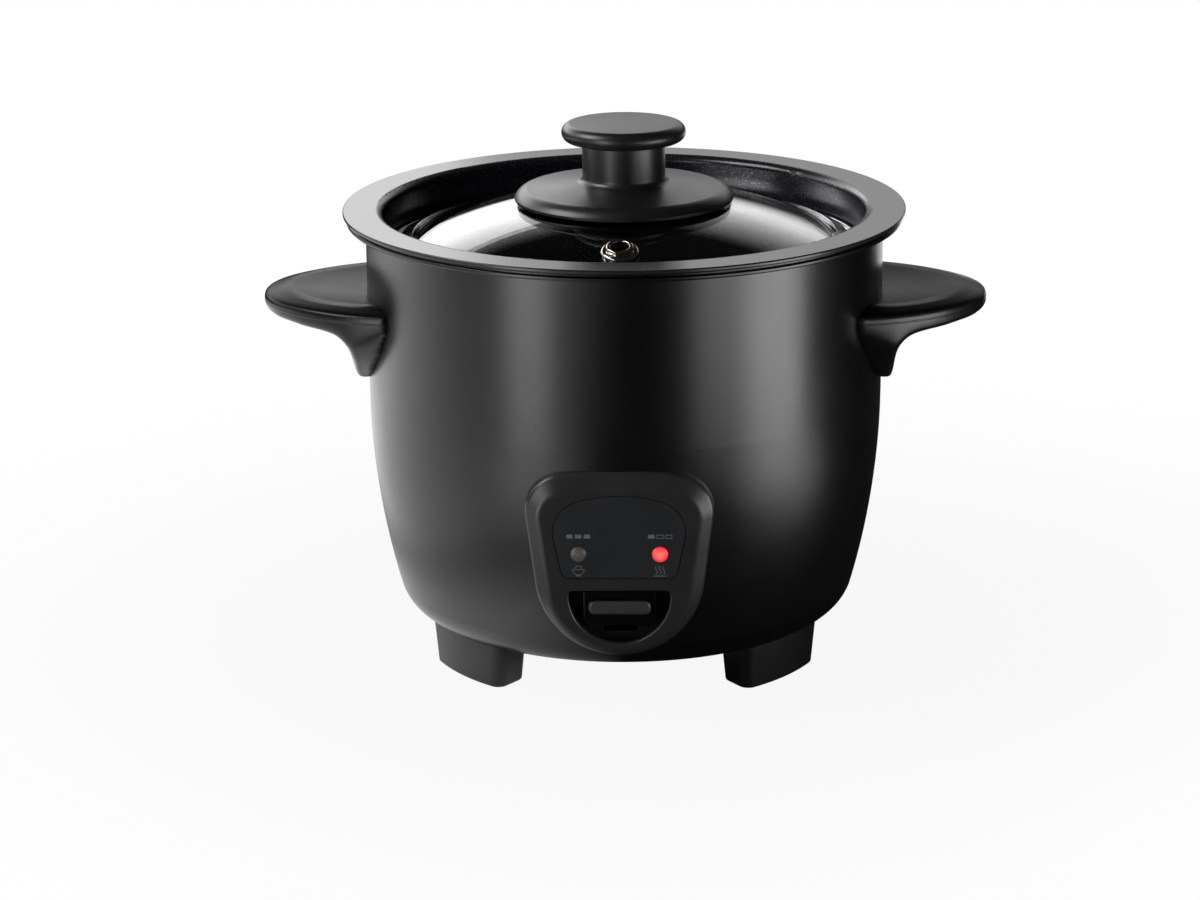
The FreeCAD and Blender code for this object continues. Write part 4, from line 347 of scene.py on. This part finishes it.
def drawn_sheet():
    """Bare drawn metal, black along the edge of its flange as painted shade in the gap under the pot's
    flange.
    """
    made = metal("drawn_sheet", (0.62, 0.62, 0.62), 0.3, 0.5 * MM, 0.006 * MM, (1, 1, 0.06))
    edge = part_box("inner_liner")[1].x
    reach = radius_from(made, 0.0, 0.0, "Z")
    bare = spread(made, reach, 1, 0, edge - LINER_SHADE_EDGE[0], edge - LINER_SHADE_EDGE[1])
    # Black at the flange's edge is painted shade in the gap under the pot's flange
    colour = mix_colour(made, bare, (0.003, 0.003, 0.003), (0.6, 0.6, 0.6))
    link(made, colour, shader_of(made).inputs["Base Color"])
    link(made, bare, shader_of(made).inputs["Metallic"])
    return made


def turned_aluminium():
    """A casting whose top was faced on a lathe."""
    made = material("turned_aluminium", (0.56, 0.56, 0.57), 0.36, Metallic=1.0)
    rings = add_node(made, "ShaderNodeTexWave", {"wave_type": "RINGS", "rings_direction": "Z"},
                     Scale=1 / (2.2 * MM), Distortion=0.6, Detail=2.0)
    link(made, place(made), rings.inputs["Vector"])
    add_relief(made, rings.outputs["Fac"], 0.012 * MM)
    add_shades(made, 12 * MM, (0.5, 0.5, 0.51), (0.62, 0.62, 0.63))
    add_sheen_drift(made, 3 * MM, 0.3, 0.44)
    return made


def lamp_lens(name, node, core, edge, glow):
    """A round lens, paler in its middle. A lit one glows."""
    low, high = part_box(node)
    made = material(name, edge, 0.32)
    reach = radius_from(made, (low.x + high.x) / 2, (low.z + high.z) / 2, "Y")
    share = spread(made, reach, 1, 0, *LENS_GLOW)
    colour = mix_colour(made, share, edge, core)
    link(made, colour, shader_of(made).inputs["Base Color"])
    if glow:
        link(made, colour, shader_of(made).inputs["Emission Color"])
        shader_of(made).inputs["Emission Strength"].default_value = glow
    add_relief(made, noise(made, 0.6 * MM, 2.0), 0.02 * MM)
    return made


def soft_skin(name, colour, roughness=0.55):
    """Insulation, silicone and other plain mouldings inside the cooker."""
    made = material(name, colour, roughness)
    add_shades(made, 3 * MM, colour, tuple(part * 0.78 for part in colour))
    add_sheen_drift(made, 2 * MM, roughness - 0.06, roughness + 0.08)
    add_relief(made, noise(made, 0.7 * MM, 2.0), 0.02 * MM)
    return made


def circuit_board():
    """Green lacquer over copper tracks."""
    made = material("circuit_board", (0.012, 0.11, 0.045), 0.35)
    tracks = add_node(made, "ShaderNodeTexBrick", Scale=1 / (4 * MM), Mortar_Size=0.06)
    tracks.inputs["Color1"].default_value = (0.01, 0.1, 0.04, 1)
    tracks.inputs["Color2"].default_value = (0.014, 0.13, 0.05, 1)
    tracks.inputs["Mortar"].default_value = (0.05, 0.24, 0.1, 1)
    link(made, place(made), tracks.inputs["Vector"])
    link(made, tracks.outputs["Color"], shader_of(made).inputs["Base Color"])
    add_relief(made, tracks.outputs["Fac"], 0.03 * MM)
    return made


def dress():
    """Gives every node its finish, and makes the pieces that stand in for nodes."""
    handle = moulded("handle_plastic", (0.006, 0.006, 0.0065), 0.3, 0.35 * MM, 0.003 * MM)
    add_parting_line(handle, PARTING_HEIGHT)
    add_dull_top(handle, 0.5, 0.03)
    knob = moulded("knob_plastic", (0.014, 0.014, 0.0145), 0.36, 0.3 * MM, 0.004 * MM, 0.9)
    panel = moulded("panel_plastic", (0.027, 0.027, 0.028), 0.31, 0.35 * MM, 0.003 * MM, 0.6)
    foot = moulded("foot_plastic", (0.006, 0.006, 0.006), 0.42, 0.4 * MM, 0.006 * MM)
    hidden = moulded("hidden_plastic", (0.004, 0.004, 0.004), 0.5, 0.5 * MM, 0.01 * MM)
    sheet = metal("zinc_sheet", (0.5, 0.5, 0.51), 0.34, 0.6 * MM, 0.01 * MM)
    bright = metal("bright_steel", (0.72, 0.72, 0.73), 0.13, 0.5 * MM, 0.002 * MM)
    nickel = metal("nickel", (0.74, 0.69, 0.62), 0.16, 0.4 * MM, 0.003 * MM)
    cast = turned_aluminium()
    stone = soft_skin("ferrite_stone", (0.02, 0.02, 0.021), 0.6)
    rubber = soft_skin("silicone", (0.4, 0.4, 0.39))
    sleeve = soft_skin("glass_sleeve", (0.62, 0.61, 0.57), 0.7)
    looks = {
        black_enamel(): ["outer_shell"],
        pot_coating(): ["inner_pot", "pot_rim"],
        clear_glass(): ["lid_glass"],
        bright: ["lid_band"],
        nickel: ["steam_vent", "inlet_prongs", "heater_terminals"],
        knob: ["knob_collar", "knob_grip"],
        handle: ["handle_left", "handle_right"],
        panel: ["panel_bezel"],
        moulded("label_film", (0.03, 0.0318, 0.0355), 0.3, 1.2 * MM, 0.0004 * MM): ["panel_label"],
        lamp_lens("unlit_lens", "cook_lamp", (0.2, 0.18, 0.165), (0.12, 0.107, 0.1), 0): ["cook_lamp"],
        lamp_lens("lit_lens", "warm_lamp", (1.0, 0.16, 0.13), (0.75, 0.02, 0.035), 0.85): ["warm_lamp"],
        key_plastic(): ["cook_key"],
        hidden: ["key_guide", "inlet_housing", "micro_switch"],
        foot: ["foot_front_right", "foot_rear_right", "foot_rear_left", "foot_front_left"],
        soft_skin("red_button", (0.4, 0.03, 0.025), 0.4): ["switch_button"],
        sheet: ["base_cover", "switch_lever", "lever_bracket", "sensor_base", "fuse_clip"],
        bright.copy(): ["base_screws", "foot_screws", "handle_screws", "heater_screws", "board_screws",
                        "knob_screw", "lever_pin", "plunger_rod", "sensor_spring", "release_spring"],
        drawn_sheet(): ["inner_liner"],
        cast: ["heating_plate", "sensor_cap", "thermal_fuse"],
        stone: ["sensor_ferrite", "latch_magnet"],
        rubber: ["knob_gasket", "knob_washer"],
        soft_skin("mica_wrap", (0.42, 0.33, 0.22), 0.5): ["keep_warm_band"],
        circuit_board(): ["lamp_board"],
        soft_skin("brown_insulation", (0.16, 0.05, 0.02), 0.45): ["live_wire"],
        soft_skin("blue_insulation", (0.02, 0.08, 0.35), 0.45): ["neutral_wire"],
        sleeve: ["fuse_wire", "heater_wire"],
        soft_skin("green_insulation", (0.12, 0.35, 0.05), 0.45): ["earth_wire"],
    }
    soft_handles(handle)
    pressed_spring(bright)
    for made, names in looks.items():
        for name in names:
            NODES[name].material_slots[0].material = made
    left = set(NODES) - {name for names in looks.values() for name in names}
    if left:
        raise RuntimeError(f"no finish for {sorted(left)}")


# Pieces that only show


def new_piece(name, mesh, finish, body):
    """A piece of the scene alone, with one finish, which rides on a body."""
    piece = bpy.data.objects.new(name, mesh)
    bpy.context.scene.collection.objects.link(piece)
    mesh.materials.clear()
    mesh.materials.append(finish)
    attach(piece, body)
    return piece


def stroke(shape, points, width, face, closed=False):
    """A flat printed line on the plane y = face, along points of (x, z)."""
    spots = [Vector((x, z)) for x, z in points]
    count = len(spots)
    rows = []
    for index, spot in enumerate(spots):
        before = spots[index - 1] if closed or index else spot
        after = spots[(index + 1) % count] if closed or index < count - 1 else spot
        first = (spot - before).normalized() if before != spot else (after - spot).normalized()
        last = (after - spot).normalized() if after != spot else first
        across = Vector((-(first + last).y, (first + last).x)).normalized()
        lean = max(across.dot(Vector((-first.y, first.x))), 0.5)
        half = across * (width / 2 / lean)
        rows.append([shape.verts.new((edge.x, face, edge.y)) for edge in (spot + half, spot - half)])
    pairs = zip(rows, rows[1:] + rows[:1]) if closed else zip(rows, rows[1:])
    for (left, right), (next_left, next_right) in pairs:
        shape.faces.new((left, right, next_right, next_left))


def arc(x, z, radius, start, end, steps=14):
    """Points along an arc, angles in degrees."""
    angles = [math.radians(start + (end - start) * step / steps) for step in range(steps + 1)]
    return [(x + radius * math.cos(angle), z + radius * math.sin(angle)) for angle in angles]


def even_mesh(name):
    """A node's mesh with a fine, even grid."""
    rough = bpy.data.objects.new("rough", NODES[name].data.copy())
    bpy.context.scene.collection.objects.link(rough)
    even = rough.modifiers.new("even", "REMESH")
    even.mode = "VOXEL"
    even.voxel_size = HANDLE_GRID
    even.use_smooth_shade = True
    made = rough.evaluated_get(bpy.context.evaluated_depsgraph_get())
    mesh = bpy.data.meshes.new_from_object(made)
    bpy.data.objects.remove(rough)
    return mesh


def ramp(distance, length, lowest):
    """A share that grows with a distance, from a lowest value to one over a length."""
    return min(max(distance / length, lowest), 1)


def soft_handles(finish):
    """The side handles with a dished top, and with the creases below it run soft."""
    for name in ("handle_left", "handle_right"):
        mesh = even_mesh(name)
        piece = new_piece(f"{name}_moulding", mesh, finish, "housing")
        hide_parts(name)
        low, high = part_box(name)
        wall = min(corner.co.xy.length for corner in mesh.vertices)
        walls = {}
        for corner in mesh.vertices:
            row = round(corner.co.z / MM)
            walls[row] = min(walls.get(row, 1.0), corner.co.xy.length)
        soft = piece.vertex_groups.new(name="soft")
        for corner in mesh.vertices:
            if corner.co.xy.length < walls[round(corner.co.z / MM)] + SEAT_DEPTH:
                corner.co.xy *= 1 - SEAT_SINK / corner.co.xy.length
            reach = (abs(corner.co.x) - wall) / DISH_REACH
            dish = max(1 - reach ** 2 - (corner.co.y / DISH_HALF_WIDTH) ** 2, 0)
            if corner.co.z > high.z - TOP_SKIN:
                corner.co.z -= DISH_DEPTH * dish
            clear = ramp(corner.co.xy.length - wall, *WALL_RAMP)
            under = ramp(high.z - RIM_DEPTH - corner.co.z, *RIM_RAMP)
            foot = ramp(corner.co.z - low.z, *FOOT_RAMP)
            soft.add([corner.index], clear * under * foot, "REPLACE")
        run = piece.modifiers.new("run", "SMOOTH")
        run.vertex_group = "soft"
        run.factor = 0.5
        run.iterations = SMOOTH_STEPS


def pressed_spring(finish):
    """The release spring, which the magnet's flange presses together as the key goes down. Here it is a
    plain copy on the housing, in place of its node.
    """
    mesh = NODES["release_spring"].data.copy()
    coil = new_piece("release_spring_coil", mesh, finish, "housing")
    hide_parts("release_spring")
    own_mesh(coil)


def middle_of(node):
    """The middle of a node as the panel shows it, in X and Z."""
    low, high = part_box(node)
    return (low.x + high.x) / 2, (low.z + high.z) / 2


def print_bars(shape, node, full, face):
    """Three bars over a lamp, some full and the rest as outlines."""
    x, z = middle_of(node)
    row = z + BAR_RISE
    for bar in range(3):
        left = x + (bar - 1) * BAR_STEP - BAR_LENGTH / 2
        right = left + BAR_LENGTH
        if bar < full:
            stroke(shape, [(left, row), (right, row)], BAR_HEIGHT, face)
        else:
            low = row - BAR_OUTLINE
            high = row + BAR_OUTLINE
            edge = [(left, low), (right, low), (right, high), (left, high)]
            stroke(shape, edge, THIN_LINE, face, closed=True)


def print_bowl(shape, x, z, face):
    """A covered bowl on a short line."""
    rim = z + BOWL_RISE
    base = z - BASE_DROP
    bowl = arc(x, rim, BOWL_RADIUS, 180, 360)
    stroke(shape, bowl + [(x - BOWL_RADIUS, rim)], SIGN_LINE, face)
    stroke(shape, arc(x, rim, LID_RADIUS, 20, 160), THIN_LINE, face)
    stroke(shape, [(x - BOWL_FOOT, base), (x + BOWL_FOOT, base)], SIGN_LINE, face)


def print_heat(shape, x, z, face):
    """Three waves that rise over a line."""
    for side in (-1, 0, 1):
        wave = []
        for step in range(11):
            sway = WAVE_SWAY * math.sin(step * math.pi / 5)
            wave.append((x + side * WAVE_STEP + sway, z - WAVE_DROP + step * WAVE_RISE))
        stroke(shape, wave, SIGN_LINE, face)
    base = z - BASE_DROP
    stroke(shape, [(x - HEAT_FOOT, base), (x + HEAT_FOOT, base)], BASE_LINE, face)


def print_marks():
    """Plain signs by the lamps: heat bars over them, a bowl and rising heat under them."""
    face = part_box("panel_label")[0].y - PRINT_LIFT
    shape = bmesh.new()
    print_bars(shape, "cook_lamp", 3, face)
    print_bars(shape, "warm_lamp", 1, face)
    # The lamps stand even about the middle
    x, z = middle_of("cook_lamp")
    print_bowl(shape, x, z - SIGN_DROP, face)
    print_heat(shape, -x, z - SIGN_DROP, face)
    bmesh.ops.recalc_face_normals(shape, faces=shape.faces)
    mesh = bpy.data.meshes.new("panel_marks")
    shape.to_mesh(mesh)
    shape.free()
    ink = soft_skin("pale_ink", (0.22, 0.23, 0.24), 0.5)
    new_piece("panel_marks", mesh, ink, "housing")


# Floor, light and camera


def seen_rays(made):
    """One for what the camera sees, straight or through glass, and nought for other rays."""
    rays = add_node(made, "ShaderNodeLightPath")
    bounced = math_node(made, "ADD", rays.outputs["Diffuse Depth"], rays.outputs["Glossy Depth"])
    straight = math_node(made, "LESS_THAN", bounced, 0.5)
    through = math_node(made, "MULTIPLY", rays.outputs["Is Transmission Ray"], straight)
    return rays, math_node(made, "MAXIMUM", rays.outputs["Is Camera Ray"], through)


def floor():
    """A floor that is white to the camera and through glass.

    Reflections meet only a strip on the left, a ring round the cooker and some patches. Shadows
    fall on its matt grey.
    """
    made = bpy.data.materials.new("studio_floor")
    made.use_nodes = True
    made.node_tree.nodes.clear()
    rays, seen = seen_rays(made)
    away = radius_from(made, 0.0, 0.0, "Z")
    white = math_node(made, "MULTIPLY", seen, spread(made, away, FLOOR_WHITE, 1.0, *FLOOR_PALES))
    strip = spread(made, axis_of(made, "X"), 1, 0, *STRIP_SIDE)
    deeper = spread(made, axis_of(made, "Y"), *STRIP_STRENGTH, *STRIP_DEPTH)
    strip = math_node(made, "MULTIPLY", strip, deeper)
    strip = math_node(made, "MULTIPLY", strip, spread(made, axis_of(made, "Y"), 1, 0, *STRIP_END))
    ring = spread(made, away, 1, 0, *RING_END)
    ring = math_node(made, "MULTIPLY", ring, spread(made, axis_of(made, "X"), 1, 0, *RING_SIDE))
    mirrored = math_node(made, "MAXIMUM", strip, ring)
    for x, y, strength in FLOOR_PATCHES:
        patch = spread(made, radius_from(made, x, y, "Z"), strength, 0, *PATCH_END)
        mirrored = math_node(made, "MAXIMUM", mirrored, patch)
    shine = math_node(made, "MULTIPLY", rays.outputs["Is Glossy Ray"], mirrored)
    glow = add_node(made, "ShaderNodeEmission")
    link(made, math_node(made, "MAXIMUM", white, shine), glow.inputs["Strength"])
    matt = add_node(made, "ShaderNodeBsdfDiffuse", Color=(FLOOR_GREY, FLOOR_GREY, FLOOR_GREY, 1))
    both = add_node(made, "ShaderNodeAddShader")
    link(made, glow.outputs[0], both.inputs[0])
    link(made, matt.outputs[0], both.inputs[1])
    output = add_node(made, "ShaderNodeOutputMaterial")
    link(made, both.outputs[0], output.inputs["Surface"])
    shape = bmesh.new()
    bmesh.ops.create_grid(shape, x_segments=8, y_segments=8, size=FLOOR_SIZE)
    mesh = bpy.data.meshes.new("floor")
    shape.to_mesh(mesh)
    shape.free()
    mesh.materials.append(made)
    plane = bpy.data.objects.new("floor", mesh)
    bpy.context.scene.collection.objects.link(plane)


def surroundings():
    """White to the camera and through glass. Reflections meet a backdrop behind the cooker."""
    world = bpy.data.worlds.new("studio")
    world.use_nodes = True
    bpy.context.scene.world = world
    behind = spread(world, axis_of(world, "Y", "Generated"), 0, 1, *BACKDROP_START)
    low = spread(world, axis_of(world, "Z", "Generated"), BACKDROP_WHITE, 0, *BACKDROP_TOP)
    raised = spread(world, axis_of(world, "Z", "Generated"), 0, 1, *BACKDROP_FOOT)
    left = spread(world, axis_of(world, "X", "Generated"), 1, 0, *BACKDROP_RIGHT)
    backdrop = math_node(world, "MULTIPLY", math_node(world, "MULTIPLY", behind, low), left)
    backdrop = math_node(world, "MULTIPLY", backdrop, raised)
    rays, seen = seen_rays(world)
    shine = math_node(world, "MULTIPLY", rays.outputs["Is Glossy Ray"], backdrop)
    strength = math_node(world, "MAXIMUM", math_node(world, "MAXIMUM", seen, shine), WORLD_GREY)
    background = world.node_tree.nodes["Background"]
    background.inputs["Color"].default_value = (1, 1, 1, 1)
    link(world, strength, background.inputs["Strength"])


def soft_box(name, azimuth, distance, height, aim_height, wide, tall, brightness):
    """A soft box that looks at a height on the cooker's axis. Azimuth 0 is in front, 90 to the right."""
    lamp = bpy.data.lights.new(name, "AREA")
    lamp.shape = "RECTANGLE"
    lamp.size = wide
    lamp.size_y = tall
    lamp.energy = brightness * math.pi * wide * tall
    thing = bpy.data.objects.new(name, lamp)
    angle = math.radians(azimuth)
    thing.location = (distance * math.sin(angle), -distance * math.cos(angle), height)
    aim = Vector((0, 0, aim_height)) - thing.location
    thing.rotation_euler = aim.to_track_quat("-Z", "Y").to_euler()
    thing.visible_camera = False
    bpy.context.scene.collection.objects.link(thing)


def camera():
    """The photograph's place: a little right of the middle, looking down and slightly left."""
    lens = bpy.data.cameras.new("camera")
    lens.sensor_fit = "HORIZONTAL"
    lens.sensor_width = SENSOR_WIDTH
    lens.lens = LENS_LENGTH
    thing = bpy.data.objects.new("camera", lens)
    yaw = Matrix.Rotation(math.radians(CAMERA_YAW), 4, "Z")
    pitch = Matrix.Rotation(math.radians(90 - CAMERA_DOWN), 4, "X")
    roll = Matrix.Rotation(math.radians(CAMERA_ROLL), 4, "Z")
    thing.matrix_world = Matrix.Translation(CAMERA_PLACE) @ yaw @ pitch @ roll
    bpy.context.scene.collection.objects.link(thing)
    bpy.context.scene.camera = thing


dress()
print_marks()
floor()
surroundings()
for box in BOXES:
    soft_box(*box)
camera()
bpy.context.scene.view_settings.view_transform = "Standard"
